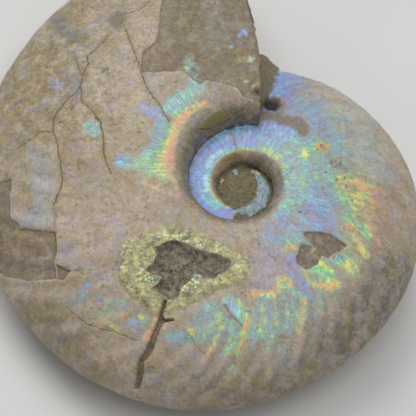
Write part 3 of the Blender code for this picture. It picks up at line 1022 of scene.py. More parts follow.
class Survey:
    """What the marks are at a set of the coil's points.

    The underside isn't in the photograph: it takes the cracks and colours of the upper side as in a mirror,
    moved about, since a crack may go through, and none of its flakes or crust.
    """

    OUTSIDE = -3.0
    FAR = 5.0
    UPPER_END = -3.0
    UPPER_FADE = 2.5
    FOLD_DROP = 3.0
    FOLD_FROM = 20.0
    FOLD_FADE = 10.0
    UNDER = Drift(24.0, 70.0, 23.0)
    UNDER_FADE = 4.0
    UNDER_FROM = 13.0
    UNDER_REACH = 8.0
    TIGHT = (Drift(0.9, 6.0, 3.0), Drift(0.4, 2.3, 7.0))
    LOOSE = (Drift(4.5, 19.0, 11.0), Drift(2.0, 6.5, 17.0))
    CRACK_HALF_WIDTH = 0.9
    FLAKES = ("left_flake", "top_flake", "small_flake", "right_flake")
    UPPER_OUTLINES = ("crust", "pit", "dark_hole", "hollow", "crystal", "island", "core_stone", "stain")

    def __init__(self, camera: PhotoCamera, marks: Marks, points: np.ndarray) -> None:
        """Project the points and shift them a little, so that no drawn line is ruled.

        Args:
            camera: the photograph's view.
            marks: where the marks are.
            points: rows of x, y and z in the coil's frame.
        """
        self.marks = marks
        self.points = points
        self.pixel = camera.pixel
        self.radius = np.hypot(points[:, 0], points[:, 1])
        self.upper = ease((points[:, 2] - self.UPPER_END) / self.UPPER_FADE)
        level = -self.FOLD_DROP * ease((self.radius - self.FOLD_FROM) / self.FOLD_FADE)
        folded = points.copy()
        folded[:, 2] = level + np.abs(points[:, 2] - level)
        flat = camera.pixels(folded)
        hidden = ease((level - points[:, 2]) / self.UNDER_FADE)
        hidden = hidden * ease((self.radius - self.UNDER_FROM) / self.UNDER_REACH)
        flat = flat + hidden[:, None] * self.UNDER.at(flat)
        self.pixels = self.shifted(flat, self.TIGHT)
        self.loose = self.shifted(flat, self.LOOSE)

    @staticmethod
    def shifted(flat: np.ndarray, drifts: tuple[Drift, ...]) -> np.ndarray:
        """Shift pixel places by some drifts."""
        moved = flat
        for drift in drifts:
            moved = moved + drift.at(flat)
        return moved

    def depth(self, name: str) -> np.ndarray:
        """Give how deep each point is inside a named outline of the upper side, in millimetres."""
        inside = depth_inside(self.pixels, getattr(self.marks, name)) * self.pixel
        return np.where(self.upper > 0.5, inside, self.OUTSIDE)

    def over_edge(self, name: str) -> np.ndarray:
        """Give how deep each point is inside an outline that runs over the edge and closes below it."""
        inside = depth_inside(self.pixels, getattr(self.marks, name)) * self.pixel
        return inside + self.OUTSIDE * (1.0 - self.upper)

    def flakes(self) -> np.ndarray:
        """Give how deep each point is inside the patches where shell has flaked off."""
        return np.max([self.depth(name) for name in self.FLAKES], axis=0)

    def depths(self) -> dict[str, np.ndarray]:
        """Give how deep each point is inside every form, by its name."""
        depths = {name: self.depth(name) for name in self.UPPER_OUTLINES}
        return depths | {"gape": self.over_edge("gape"), "flakes": self.flakes()}

    def cracks(self) -> tuple[np.ndarray, np.ndarray]:
        """Find the nearest crack.

        Returns:
            Each point's distance to the nearest crack's edge, in millimetres, and that crack's ink.
        """
        nearest = np.full(len(self.points), np.inf)
        ink = np.zeros(len(self.points))
        for crack in self.marks.cracks:
            away = path_distance(self.pixels, crack.path) - crack.half_width + self.CRACK_HALF_WIDTH
            away = away * self.pixel
            if not crack.through:
                away = np.where(self.upper > 0.5, away, np.inf)
            closer = away < nearest
            nearest = np.where(closer, away, nearest)
            ink = np.where(closer, crack.ink, ink)
        return np.minimum(nearest, self.FAR), ink


@dataclass(frozen=True)
class Places:
    """Where the points of a mesh lie on the coil."""

    points: np.ndarray
    normals: np.ndarray
    turn: np.ndarray
    share: np.ndarray
    broken: np.ndarray
    rim: np.ndarray


class ShellMesh:
    """The fine mesh of the whole fossil, wrapped from flat sheets round the coiling axis."""

    CAP = 1
    EDGE = 0.001
    FINE_OUTLINES = ("crystal", "island", "crust", "pit", "gape", "dark_hole")

    def __init__(self, coil: Coil, camera: PhotoCamera, marks: Marks, spacing: Spacing) -> None:
        """Start an empty mesh.

        Args:
            coil: the coil's form.
            camera: the photograph's view.
            marks: where the marks are.
            spacing: how close the points lie.
        """
        self.coil = coil
        self.camera = camera
        self.marks = marks
        self.spacing = spacing
        self.bm = bmesh.new()
        floats = self.bm.verts.layers.float
        self.along = floats.new("along")
        self.course = floats.new("course")
        self.sheet = floats.new("sheet")
        self.room = floats.new("room")
        self.places: list[Callable[[np.ndarray, np.ndarray], np.ndarray]] = []

    def add_sheet(self, columns: int, courses: list[float], span: Pair, place: Callable) -> None:
        """Lay a flat grid, and note where each of its points goes.

        Args:
            columns: squares along the whorl.
            courses: the courses of its rows of points.
            span: what the columns run over.
            place: carries columns and courses into the coil's frame.
        """
        rows = len(courses) - 1
        made = bmesh.ops.create_grid(self.bm, x_segments=columns, y_segments=rows, size=0.5)
        for vert in made["verts"]:
            vert[self.along] = lerp(span[0], span[1], round((vert.co.x + 0.5) * columns) / columns)
            vert[self.course] = courses[round((vert.co.y + 0.5) * rows)]
            vert[self.sheet] = len(self.places)
        self.places.append(place)

    def row_courses(self, rows: int) -> list[float]:
        """Give the courses from the seam to the venter, one of them on the next whorl's seam.

        Args:
            rows: how many rows of squares they part.

        Returns:
            The courses, one more than the rows.
        """
        seam = self.coil.seam_course
        low = self.spacing.seam_row * rows // self.spacing.upper_rows
        inner = [seam * row / low for row in range(low + 1)]
        return inner + [lerp(seam, 1.0, (row - low) / (rows - low)) for row in range(low + 1, rows + 1)]

    def add_sheets(self) -> None:
        """Lay the sheets of the last whorl, the whorl before and the broken end."""
        spacing = self.spacing
        coil = self.coil
        upper = self.row_courses(spacing.upper_rows)
        lower = [2.0 - course for course in self.row_courses(spacing.lower_rows)]
        around = upper + lower[-2::-1]
        inner_upper = upper[:spacing.seam_row + 1]
        inner_lower = lower[:spacing.seam_row * spacing.lower_rows // spacing.upper_rows + 1]
        self.add_sheet(spacing.columns, around, (-1.0, 0.0), coil.last_whorl)
        self.add_sheet(spacing.columns, inner_upper, (-2.0, -1.0), coil.whorl_before)
        self.add_sheet(spacing.columns, inner_lower, (-2.0, -1.0), coil.whorl_before)
        self.add_sheet(spacing.break_columns, around, (0.0, 1.0), coil.broken_face)

    def notes(self) -> tuple[np.ndarray, np.ndarray, np.ndarray]:
        """Give each point's sheet, column and course."""
        rows = [(vert[self.sheet], vert[self.along], vert[self.course]) for vert in self.bm.verts]
        return tuple(np.array(rows).T)

    def settle(self) -> None:
        """Put every point where its column and course say."""
        sheets, along, courses = self.notes()
        placed = np.zeros((len(sheets), 3))
        for index, place in enumerate(self.places):
            chosen = np.round(sheets) == index
            placed[chosen] = place(along[chosen], courses[chosen])
        for vert, row in zip(self.bm.verts, placed):
            vert.co = row

    def wanted(self, points: np.ndarray, broken: np.ndarray) -> np.ndarray:
        """Give how long an edge may be at each point.

        Args:
            points: rows of x, y and z in the coil's frame.
            broken: whether each lies on the broken end.

        Returns:
            Lengths in millimetres.
        """
        spacing = self.spacing
        survey = Survey(self.camera, self.marks, points)
        high = ease((points[:, 2] + spacing.lower_fade) / spacing.lower_fade)
        length = lerp(spacing.lower, spacing.upper, high)
        inner = ease((spacing.umbilicus_reach - survey.radius) / spacing.umbilicus_fade) * survey.upper
        length = lerp(length, spacing.umbilicus, inner)
        depths = {name: survey.depth(name) for name in self.FINE_OUTLINES}
        away = np.min(np.abs([*depths.values(), survey.flakes()]), axis=0)
        rough = np.maximum(depths["pit"], depths["gape"]) > 0.0
        length = np.where(depths["crust"] > 0.0, np.minimum(length, spacing.crust), length)
        length = np.where(rough, np.minimum(length, spacing.rough), length)
        crack, _ = survey.cracks()
        for nearest, fine, reach in ((away, spacing.edge, spacing.edge_reach),
                                     (crack, spacing.crack, spacing.crack_reach)):
            length = np.minimum(length, fine + np.maximum(nearest - reach, 0.0) * spacing.growth)
        return np.where(broken, spacing.broken, length)

    def note_room(self, verts: list[bmesh.types.BMVert]) -> None:
        """Note on each point how long an edge that ends there may be.

        Args:
            verts: the points.
        """
        points = np.array([vert.co[:] for vert in verts])
        broken = np.array([round(vert[self.sheet]) == len(self.places) - 1 for vert in verts])
        for vert, room in zip(verts, self.wanted(points, broken)):
            vert[self.room] = room

    def tag_long_edges(self) -> None:
        """Tag the edges that are longer than there is room for, and the third of each face that has two."""
        room = self.room
        fresh = []
        for edge in self.bm.edges:
            reach = self.spacing.slack * min(vert[room] for vert in edge.verts)
            edge.tag = edge.calc_length() > reach and not edge.is_boundary
            if edge.tag:
                fresh.append(edge)
        while fresh:
            faces = {face for edge in fresh for face in edge.link_faces}
            fresh = []
            for face in faces:
                plain = [edge for edge in face.edges if not edge.tag]
                if len(plain) == 1 and not plain[0].is_boundary:
                    plain[0].tag = True
                    fresh.append(plain[0])

    def refine(self) -> None:
        """Halve long edges, keeping the sheets' borders as they are, until every part is fine enough."""
        bmesh.ops.triangulate(self.bm, faces=self.bm.faces)
        self.note_room(list(self.bm.verts))
        for step in range(self.spacing.passes):
            self.tag_long_edges()
            chosen = [edge for edge in self.bm.edges if edge.tag]
            count = len(self.bm.verts)
            LOG.info("pass %d: %d points, %d long edges", step, count, len(chosen))
            if not chosen:
                break
            bmesh.ops.subdivide_edges(self.bm, edges=chosen, cuts=1, use_grid_fill=True, use_single_edge=True)
            uncut = [face for face in self.bm.faces if len(face.verts) > 3]
            bmesh.ops.triangulate(self.bm, faces=uncut)
            self.settle()
            self.note_room(list(self.bm.verts)[count:])

    def is_cap(self, part: bmesh.types.BMEdge | bmesh.types.BMVert) -> bool:
        """Tell whether an edge or a point lies inside the stone that closes an umbilicus."""
        return all(face.material_index == self.CAP for face in part.link_faces)

    def cap_faces(self) -> list[bmesh.types.BMFace]:
        """Give the faces that close the middle of each umbilicus."""
        return [face for face in self.bm.faces if face.material_index == self.CAP]

    def cap_edges(self) -> list[bmesh.types.BMEdge]:
        """Give the edges inside the caps, in the mesh's own order."""
        self.bm.edges.index_update()
        edges = {edge for face in self.cap_faces() for edge in face.edges if self.is_cap(edge)}
        return sorted(edges, key=lambda edge: edge.index)

    def weld(self) -> None:
        """Join the sheets, and close the middle of each umbilicus with stone."""
        bmesh.ops.remove_doubles(self.bm, verts=self.bm.verts, dist=self.spacing.weld)
        open_edges = [edge for edge in self.bm.edges if edge.is_boundary]
        filled = bmesh.ops.holes_fill(self.bm, edges=open_edges, sides=0)
        for face in filled["faces"]:
            face.material_index = self.CAP
        limit = self.spacing.slack * self.spacing.umbilicus
        for _ in range(self.spacing.passes):
            bmesh.ops.triangulate(self.bm, faces=self.cap_faces())
            bmesh.ops.beautify_fill(self.bm, faces=self.cap_faces(), edges=self.cap_edges(), method="ANGLE")
            long = [edge for edge in self.cap_edges() if edge.calc_length() > limit]
            if not long:
                break
            bmesh.ops.subdivide_edges(self.bm, edges=long, cuts=1, use_grid_fill=True)
        bmesh.ops.triangulate(self.bm, faces=self.bm.faces)
        for vert in {vert for edge in self.cap_edges() for vert in edge.verts if self.is_cap(vert)}:
            radius = math.hypot(vert.co.x, vert.co.y)
            vert.co.z = math.copysign(float(self.coil.stone_height(radius)), vert.co.z)
        for face in self.cap_faces():
            face.material_index = 0
        bmesh.ops.recalc_face_normals(self.bm, faces=self.bm.faces)

    def build(self) -> bmesh.types.BMesh:
        """Make the mesh.

        Returns:
            The smooth, fine mesh, before its relief.
        """
        self.add_sheets()
        self.settle()
        self.refine()
        self.weld()
        self.bm.normal_update()
        return self.bm

    def read(self) -> Places:
        """Read the finished mesh.

        Returns:
            Where its points lie on the coil.
        """
        points = np.array([vert.co[:] for vert in self.bm.verts])
        normals = np.array([vert.normal[:] for vert in self.bm.verts])
        sheets, along, courses = self.notes()
        on_break = np.round(sheets) == len(self.places) - 1
        broken = on_break & (along > self.EDGE)
        turn = np.where(on_break, 0.0, along)
        radius = np.hypot(points[:, 0], points[:, 1])
        _, edge_radius, edge_height = self.coil.section(0.0 * turn, courses)
        rim = np.where(broken, np.hypot(radius - edge_radius, points[:, 2] - edge_height), 0.0)
        return Places(points, normals, turn, self.coil.flank_share(turn, radius), broken, rim)


class Carving:
    """Works out how far each point of the smooth mesh moves along its normal."""

    def __init__(self, coil: Coil, relief: Relief, survey: Survey, places: Places) -> None:
        """Keep what the carving reads.

        Args:
            coil: the coil's form.
            relief: how deep or high each form is.
            survey: what the marks are at the points.
            places: where the points lie on the coil.
        """
        self.coil = coil
        self.relief = relief
        self.survey = survey
        self.places = places

    def terraces(self) -> np.ndarray:
        """Sink the flakes, the pit, the gape and the holes, raise the crust, and roughen the stone."""
        depths = self.survey.depths()
        return sum(step.at(depths[step.outline], self.places.points) for step in self.relief.terraces)

    def cracks(self) -> np.ndarray:
        """Sink the cracks."""
        away, ink = self.survey.cracks()
        return -self.relief.crack * ink * (1.0 - ease(away / self.relief.crack_reach))

    def seam(self) -> np.ndarray:
        """Sink the seam at the foot of the umbilical wall."""
        away = self.coil.seam_distance(self.places.turn, self.survey.radius, self.places.points[:, 2])
        return -self.relief.seam * (1.0 - ease(away / self.relief.seam_reach))

    def growth(self) -> np.ndarray:
        """Raise the fine ribs that sweep forward over the outer flank, and dent the shell a little.

        Returns:
            Distances in millimetres.
        """
        relief = self.relief
        share = self.places.share
        line = self.coil.growth_line(self.places.turn, share)
        shown = ease((share - relief.rib_from) / (relief.rib_full - relief.rib_from))
        shown = shown * ease((relief.rib_end - share) / relief.rib_fade)
        wave = np.sin(math.tau * relief.ribs_a_turn * line)
        return relief.rib * wave * shown + relief.dent * relief.dents.at(self.places.points)

    def breakage(self) -> np.ndarray:
        """Roughen the broken end inside its rim of shell.

        Returns:
            Distances in millimetres.
        """
        relief = self.relief
        inner = ease((self.places.rim - relief.break_rim) / relief.break_slope)
        return relief.break_height * relief.break_grain.at(self.places.points) * inner * self.places.broken

    def push(self) -> np.ndarray:
        """Add up every movement, in millimetres."""
        on_shell = self.terraces() + self.cracks() + self.seam() + self.growth()
        return on_shell * (1.0 - self.places.broken) + self.breakage()


class Painting:
    """Works out the paint at each point of the mesh, as values that the finish reads."""

    JOIN = 0.06
    LOOSE_FROM = 4.0
    STROKE_CORE = 1.2
    STROKE_REACH = 1.45
    SPECK_CORE = 1.3
    SPECK_RADIUS = 2.2
    WALL_END = 0.07
    WALL_HIDES = 0.6
    SHALLOW = 0.4
    STONE_REACH = 9.0
    STONE_EDGE = 0.1
    STONE_RISE = 0.12
    NACRE_START = 1.12
    NACRE_FADE = 0.08
    BAND = 0.05
    GLOW_WEIGHT = 0.5
    FAR = 9.0
    MASKS = ("flakes", "crust", "pit", "gape", "stain", "crystal")

    def __init__(self, coil: Coil, brushwork: Brushwork, survey: Survey, places: Places) -> None:
        """Keep what the painting reads.

        Args:
            coil: the coil's form.
            brushwork: the strokes.
            survey: what the marks are at the points.
            places: where the points lie on the coil.
        """
        self.coil = coil
        self.brushwork = brushwork
        self.survey = survey
        self.places = places
        self.depths = survey.depths()
        self.before = ease(1.0 - (places.turn + 1.0) / self.JOIN)
        self.flank = ease((places.share + 0.02) / 0.04)

    def falloff(self, radius: float, path: Path) -> np.ndarray:
        """Give how strongly a stroke covers each point, from 0 to 1."""
        pixels = self.survey.loose if radius > self.LOOSE_FROM else self.survey.pixels
        return ease(self.STROKE_CORE - path_distance(pixels, path) / (self.STROKE_REACH * radius))

    def over(self, colour: np.ndarray, tone: Tone, cover: np.ndarray) -> np.ndarray:
        """Lay a tone over a colour at each point, as strongly as it covers."""
        return lerp(colour, np.array(tone.linear()), cover[:, None])

    def ground(self) -> np.ndarray:
        """Paint the ground colours, over the beige of the shell and the grey of the umbilical wall.

        Returns:
            A row of three parts for each point.
        """
        wall = ease(0.5 - self.places.share / self.WALL_END)
        colour = np.tile(np.array(Tone.BEIGE.linear()), (len(wall), 1))
        colour = self.over(colour, Tone.WALL, wall)
        colour = self.over(colour, Tone.ASH, self.before * (1.0 - wall))
        for dab in self.brushwork.ground:
            cover = clamp(dab.strength * self.falloff(dab.radius, dab.path) * (1.0 - self.WALL_HIDES * wall))
            colour = self.over(colour, dab.tone, cover)
        return colour

    def bare(self) -> np.ndarray:
        """Paint what shows where the shell has flaked away.

        Returns:
            A row of three parts for each point.
        """
        colour = np.tile(np.array(Tone.BROWN.linear()), (len(self.places.points), 1))
        for dab in self.brushwork.bare:
            colour = self.over(colour, dab.tone, dab.strength * self.falloff(dab.radius, dab.path))
        return colour

    def nacre(self, sheens: tuple[Sheen, ...], wanted: np.ndarray) -> tuple[np.ndarray, np.ndarray]:
        """Paint nacre.

        Args:
            sheens: the strokes.
            wanted: how much each point can take.

        Returns:
            How much nacre shows at each point, and its film.
        """
        amount = np.zeros(len(wanted))
        film = np.full(len(wanted), Film.TEAL.value)
        for sheen in sheens:
            share = self.falloff(sheen.radius, sheen.path) * wanted
            kept = amount * (1.0 - share)
            mixed = (film * kept + sheen.film.value * share) / (kept + share + TINY)
            film = np.where(share > 0.0, mixed, film)
            amount = np.maximum(amount, sheen.strength * share)
        return amount, film

    def cover(self, strokes: tuple[Dab | Sheen, ...]) -> np.ndarray:
        """Give how much the strokes of one kind cover each point, from 0 to 1."""
        return np.max([one.strength * self.falloff(one.radius, one.path) for one in strokes], axis=0)

    def specks(self) -> np.ndarray:
        """Paint the small dark specks, from 0 to 1."""
        dark = np.zeros(len(self.places.points))
        for corner in corners_of(self.survey.marks.specks):
            away = np.hypot(*(self.survey.pixels - corner).T)
            dark = np.maximum(dark, ease(self.SPECK_CORE - away / self.SPECK_RADIUS))
        return dark * self.survey.upper

    def inner_nacre(self) -> tuple[np.ndarray, np.ndarray]:
        """Paint the nacre of the whorl before, which glows all over and has a yellow band by the wall.

        Returns:
            How much nacre shows at each point, and its film.
        """
        strokes = self.brushwork
        amount, film = self.nacre(strokes.inner_nacre, self.flank * self.before)
        glow = strokes.whorl_glow * self.flank * self.before
        band = 1.0 - ease(self.places.share / self.BAND)
        glow_film = lerp(Film.BLUE.value, Film.YELLOW.value, band**2)
        weight = glow * self.GLOW_WEIGHT
        film = (glow_film * weight + film * amount) / (weight + amount + TINY)
        return np.maximum(amount, glow), film

    def shell_nacre(self, hole: np.ndarray, bare: np.ndarray) -> tuple[np.ndarray, np.ndarray]:
        """Paint the nacre of both whorls and of the bare patches, and take the strongest at each point.

        Args:
            hole: how deep each point is inside a hole.
            bare: how far the shell has flaked off.

        Returns:
            How much nacre shows at each point, and its film.
        """
        strokes = self.brushwork
        clean = self.flank * (1.0 - bare) * (1.0 - ease(1.0 + hole / 0.8))
        young = ease((self.places.turn + self.NACRE_START) / self.NACRE_FADE)
        layers = (
            self.nacre(strokes.nacre, clean * young),
            self.inner_nacre(),
            self.nacre(strokes.bare_nacre, bare),
        )
        amounts = np.array([amount for amount, _ in layers])
        film = np.choose(np.argmax(amounts, axis=0), [one for _, one in layers])
        return amounts.max(axis=0), film

    def stone(self) -> np.ndarray:
        """Tell where the stone in the umbilicus shows, from 0 to 1."""
        over = self.coil.stone_height(self.survey.radius) - np.abs(self.places.points[:, 2])
        core = ease(self.depths["core_stone"] / 0.2 + 0.5) * self.before
        near = ease((over + self.STONE_RISE) / self.STONE_EDGE) * (self.survey.radius < self.STONE_REACH)
        return np.maximum(near, core)

    def values(self) -> dict[str, np.ndarray]:
        """Work out every value that the finish reads.

        Returns:
            The values by name; rows of three are colours.
        """
        survey = self.survey
        places = self.places
        strokes = self.brushwork
        depths = self.depths
        least = survey.OUTSIDE
        hole = np.maximum(depths["dark_hole"], depths["hollow"] - self.SHALLOW)
        nacre, film = self.shell_nacre(hole, ease(depths["flakes"] / 0.1 + 0.5))
        middle = (survey.radius < self.STONE_REACH) * survey.upper
        core, core_film = self.nacre(strokes.core_nacre, middle)
        crack, ink = survey.cracks()
        seam = self.coil.seam_distance(places.turn, survey.radius, places.points[:, 2])
        line = self.coil.growth_line(places.turn, places.share)
        worn = ease((150.0 - survey.loose[:, 0]) / 90.0) * ease((190.0 - survey.loose[:, 1]) / 90.0)
        masks = {name: np.maximum(depths[name], least) for name in self.MASKS}
        return masks | {
            "ground": self.ground(),
            "bare": self.bare(),
            "nacre": nacre,
            "film": film,
            "core": core,
            "core_film": core_film,
            "crack": crack,
            "ink": ink,
            "hole": np.maximum(hole, least),
            "island": np.where(self.before > 0.5, np.maximum(depths["island"], least), least),
            "speck": self.specks(),
            "soil": self.cover(strokes.soil) * self.flank,
            "shine": self.cover(strokes.shine) * self.flank,
            "sparkle": self.cover(strokes.sparkle),
            "stone": self.stone(),
            "seam": np.minimum(seam, survey.FAR),
            "cut": places.broken.astype(float),
            "rim": np.minimum(places.rim, self.FAR),
            "worn": worn,
            "growth": line,
            "arc": self.coil.arc(line),
            "out": survey.radius - self.coil.shoulder_radius(places.turn),
            "share": places.share,
        }


class Value:
    """A number that a node gives; Python's arithmetic on it adds Math nodes."""

    def __init__(self, board: Board, socket: bpy.types.NodeSocket) -> None:
        """Wrap a socket.

        Args:
            board: the material that the socket is in.
            socket: a node's output.
        """
        self.board = board
        self.socket = socket

    def maths(self, operation: str, first: Value | float, second: Value | float) -> Value:
        """Add a Math node.

        Args:
            operation: what it does.
            first: its first value.
            second: its second value.

        Returns:
            What it gives.
        """
        node = self.board.node("ShaderNodeMath", {"operation": operation}, {0: first, 1: second})
        return Value(self.board, node.outputs[0])

    def __add__(self, other: Value | float) -> Value:
        """Add."""
        return self.maths("ADD", self, other)

    __radd__ = __add__

    def __mul__(self, other: Value | float) -> Value:
        """Multiply."""
        return self.maths("MULTIPLY", self, other)

    __rmul__ = __mul__

    def __sub__(self, other: Value | float) -> Value:
        """Subtract a value from this one."""
        return self.maths("SUBTRACT", self, other)

    def __rsub__(self, other: Value | float) -> Value:
        """Subtract this value from another."""
        return self.maths("SUBTRACT", other, self)

    def at_most(self, other: Value | float) -> Value:
        """Take the lower of two values."""
        return self.maths("MINIMUM", self, other)

    def at_least(self, other: Value | float) -> Value:
        """Take the higher of two values."""
        return self.maths("MAXIMUM", self, other)

    def step(self, low: float, high: float) -> Value:
        """Go smoothly from 0 at one limit to 1 at the other.

        Args:
            low: where it is 0.
            high: where it is 1.

        Returns:
            The eased value.
        """
        settings = {"interpolation_type": "SMOOTHSTEP"}
        inputs = {"Value": self, "From Min": low, "From Max": high}
        node = self.board.node("ShaderNodeMapRange", settings, inputs)
        return Value(self.board, node.outputs[0])


class Board:
    """A material's node tree, and the one way in which it gets its nodes."""

    NOISE_GAIN = 4.0
    NOISE_ROUGHNESS = 0.6

    def __init__(self, name: str) -> None:
        """Start an empty material.

        Args:
            name: its name.
        """
        self.material = bpy.data.materials.new(name)
        self.material.use_nodes = True
        self.tree = self.material.node_tree
        self.tree.nodes.clear()
        place = self.node("ShaderNodeTexCoord", {}, {}).outputs["Object"]
        scaled = {0: Value(self, place), "Scale": 1.0 / METRES}
        node = self.node("ShaderNodeVectorMath", {"operation": "SCALE"}, scaled)
        self.place = Value(self, node.outputs[0])

    def node(self, kind: str, settings: dict[str, Any], inputs: dict[str | int, Any]) -> bpy.types.Node:
        """Add a node.

        Args:
            kind: the node's type.
            settings: its settings, or the stops of a ramp.
            inputs: values or links for its sockets, by name or number.

        Returns:
            The node.
        """
        node = self.tree.nodes.new(kind)
        for name, value in settings.items():
            if name == "stops":
                self.set_stops(node.color_ramp, value)
            else:
                setattr(node, name, value)
        for key, value in inputs.items():
            if isinstance(value, Value):
                self.tree.links.new(value.socket, node.inputs[key])
            else:
                node.inputs[key].default_value = value
        return node

    @staticmethod
    def set_stops(ramp: bpy.types.ColorRamp, stops: Stops) -> None:
        """Give a ramp its stops.

        Args:
            ramp: a new ramp.
            stops: places from 0 to 1, each with a colour in linear light.
        """
        while len(ramp.elements) < len(stops):
            ramp.elements.new(1.0)
        for element, (place, colour) in zip(ramp.elements, stops):
            element.position = place
            element.color = (*colour, 1.0)

    def number(self, name: str) -> Value:
        """Read one of the mesh's painted numbers."""
        node = self.node("ShaderNodeAttribute", {"attribute_name": name}, {})
        return Value(self, node.outputs["Fac"])

    def paint(self, name: str) -> Value:
        """Read one of the mesh's painted colours."""
        node = self.node("ShaderNodeAttribute", {"attribute_name": name}, {})
        return Value(self, node.outputs["Color"])

    def vector(self, across: Value, along: Value, size: Pair) -> Value:
        """Make coordinates of two numbers, with the size of a lump in each."""
        inputs = {0: across * (1.0 / size[0]), 1: along * (1.0 / size[1])}
        return Value(self, self.node("ShaderNodeCombineXYZ", {}, inputs).outputs[0])

    def wave(self, size: float, detail: float = 3.0, seed: float = 0.0, place: Value | None = None) -> Value:
        """Add a noise of about -1 to 1, whose lumps have a size in millimetres.

        Args:
            size: the size of its lumps.
            detail: how many finer layers it has.
            seed: a shift that gives another noise.
            place: other coordinates than the object's own.

        Returns:
            The noise.
        """
        moved = {0: place or self.place, 1: (seed, 2.0 * seed, 3.0 * seed)}
        shifted = Value(self, self.node("ShaderNodeVectorMath", {"operation": "ADD"}, moved).outputs[0])
        inputs = {"Vector": shifted, "Scale": 1.0 / size, "Detail": detail, "Roughness": self.NOISE_ROUGHNESS}
        lumps = Value(self, self.node("ShaderNodeTexNoise", {}, inputs).outputs[0])
        return (lumps - 0.5) * self.NOISE_GAIN

    def cells(self, size: float) -> tuple[Value, Value]:
        """Add random cells, and give the distance to their middles and their random colours."""
        inputs = {"Vector": self.place, "Scale": 1.0 / size}
        node = self.node("ShaderNodeTexVoronoi", {}, inputs)
        return Value(self, node.outputs["Distance"]), Value(self, node.outputs["Color"])

    def ramp(self, value: Value, stops: Stops) -> Value:
        """Turn a number into a colour."""
        node = self.node("ShaderNodeValToRGB", {"stops": stops}, {0: value})
        return Value(self, node.outputs["Color"])

    def mix(self, share: Value | float, first: Any, second: Any) -> Value:
        """Mix two colours.

        Args:
            share: how much the second one shows.
            first: a colour.
            second: a colour or a tone.

        Returns:
            The mixed colour.
        """
        settings = {"data_type": "RGBA"}
        node = self.node("ShaderNodeMix", settings, {0: share, 6: self.full(first), 7: self.full(second)})
        return Value(self, node.outputs[2])

    def flat(self, tone: Tone) -> Value:
        """Give a tone as a value.

        Args:
            tone: the tone.

        Returns:
            A colour that the other nodes can read.
        """
        node = self.node("ShaderNodeRGB", {}, {})
        node.outputs[0].default_value = (*tone.linear(), 1.0)
        return Value(self, node.outputs[0])

    @staticmethod
    def full(colour: Any) -> Any:
        """Give a tone as a colour with its alpha, and anything else as it is."""
        return (*colour.linear(), 1.0) if isinstance(colour, Tone) else colour

    def lighten(self, colour: Value, factor: Value) -> Value:
        """Multiply a colour by a number."""
        node = self.node("ShaderNodeVectorMath", {"operation": "SCALE"}, {0: colour, "Scale": factor})
        return Value(self, node.outputs[0])


@dataclass(frozen=True)
class Gloss:
    """How rough and how coated each part of the fossil's surface is."""

    shell: float = 0.48
    nacre: float = 0.3
    nacre_coat: float = 0.3
    coat_roughness: float = 0.15
    bare: float = 0.7
    crust: float = 0.5
    pit: float = 0.9
    stone: float = 0.75
    crystal: float = 0.18


@dataclass(frozen=True)
class Blotch:
    """Blotches of a tone where a noise is high, with their size in millimetres.

    The noise starts to show at low and is full at high. Worn is how much stronger they are on the worn shell.
    """

    tone: Tone
    size: float
    seed: float
    low: float
    high: float
    strength: float
    worn: float = 0.0
    detail: float = 5.0


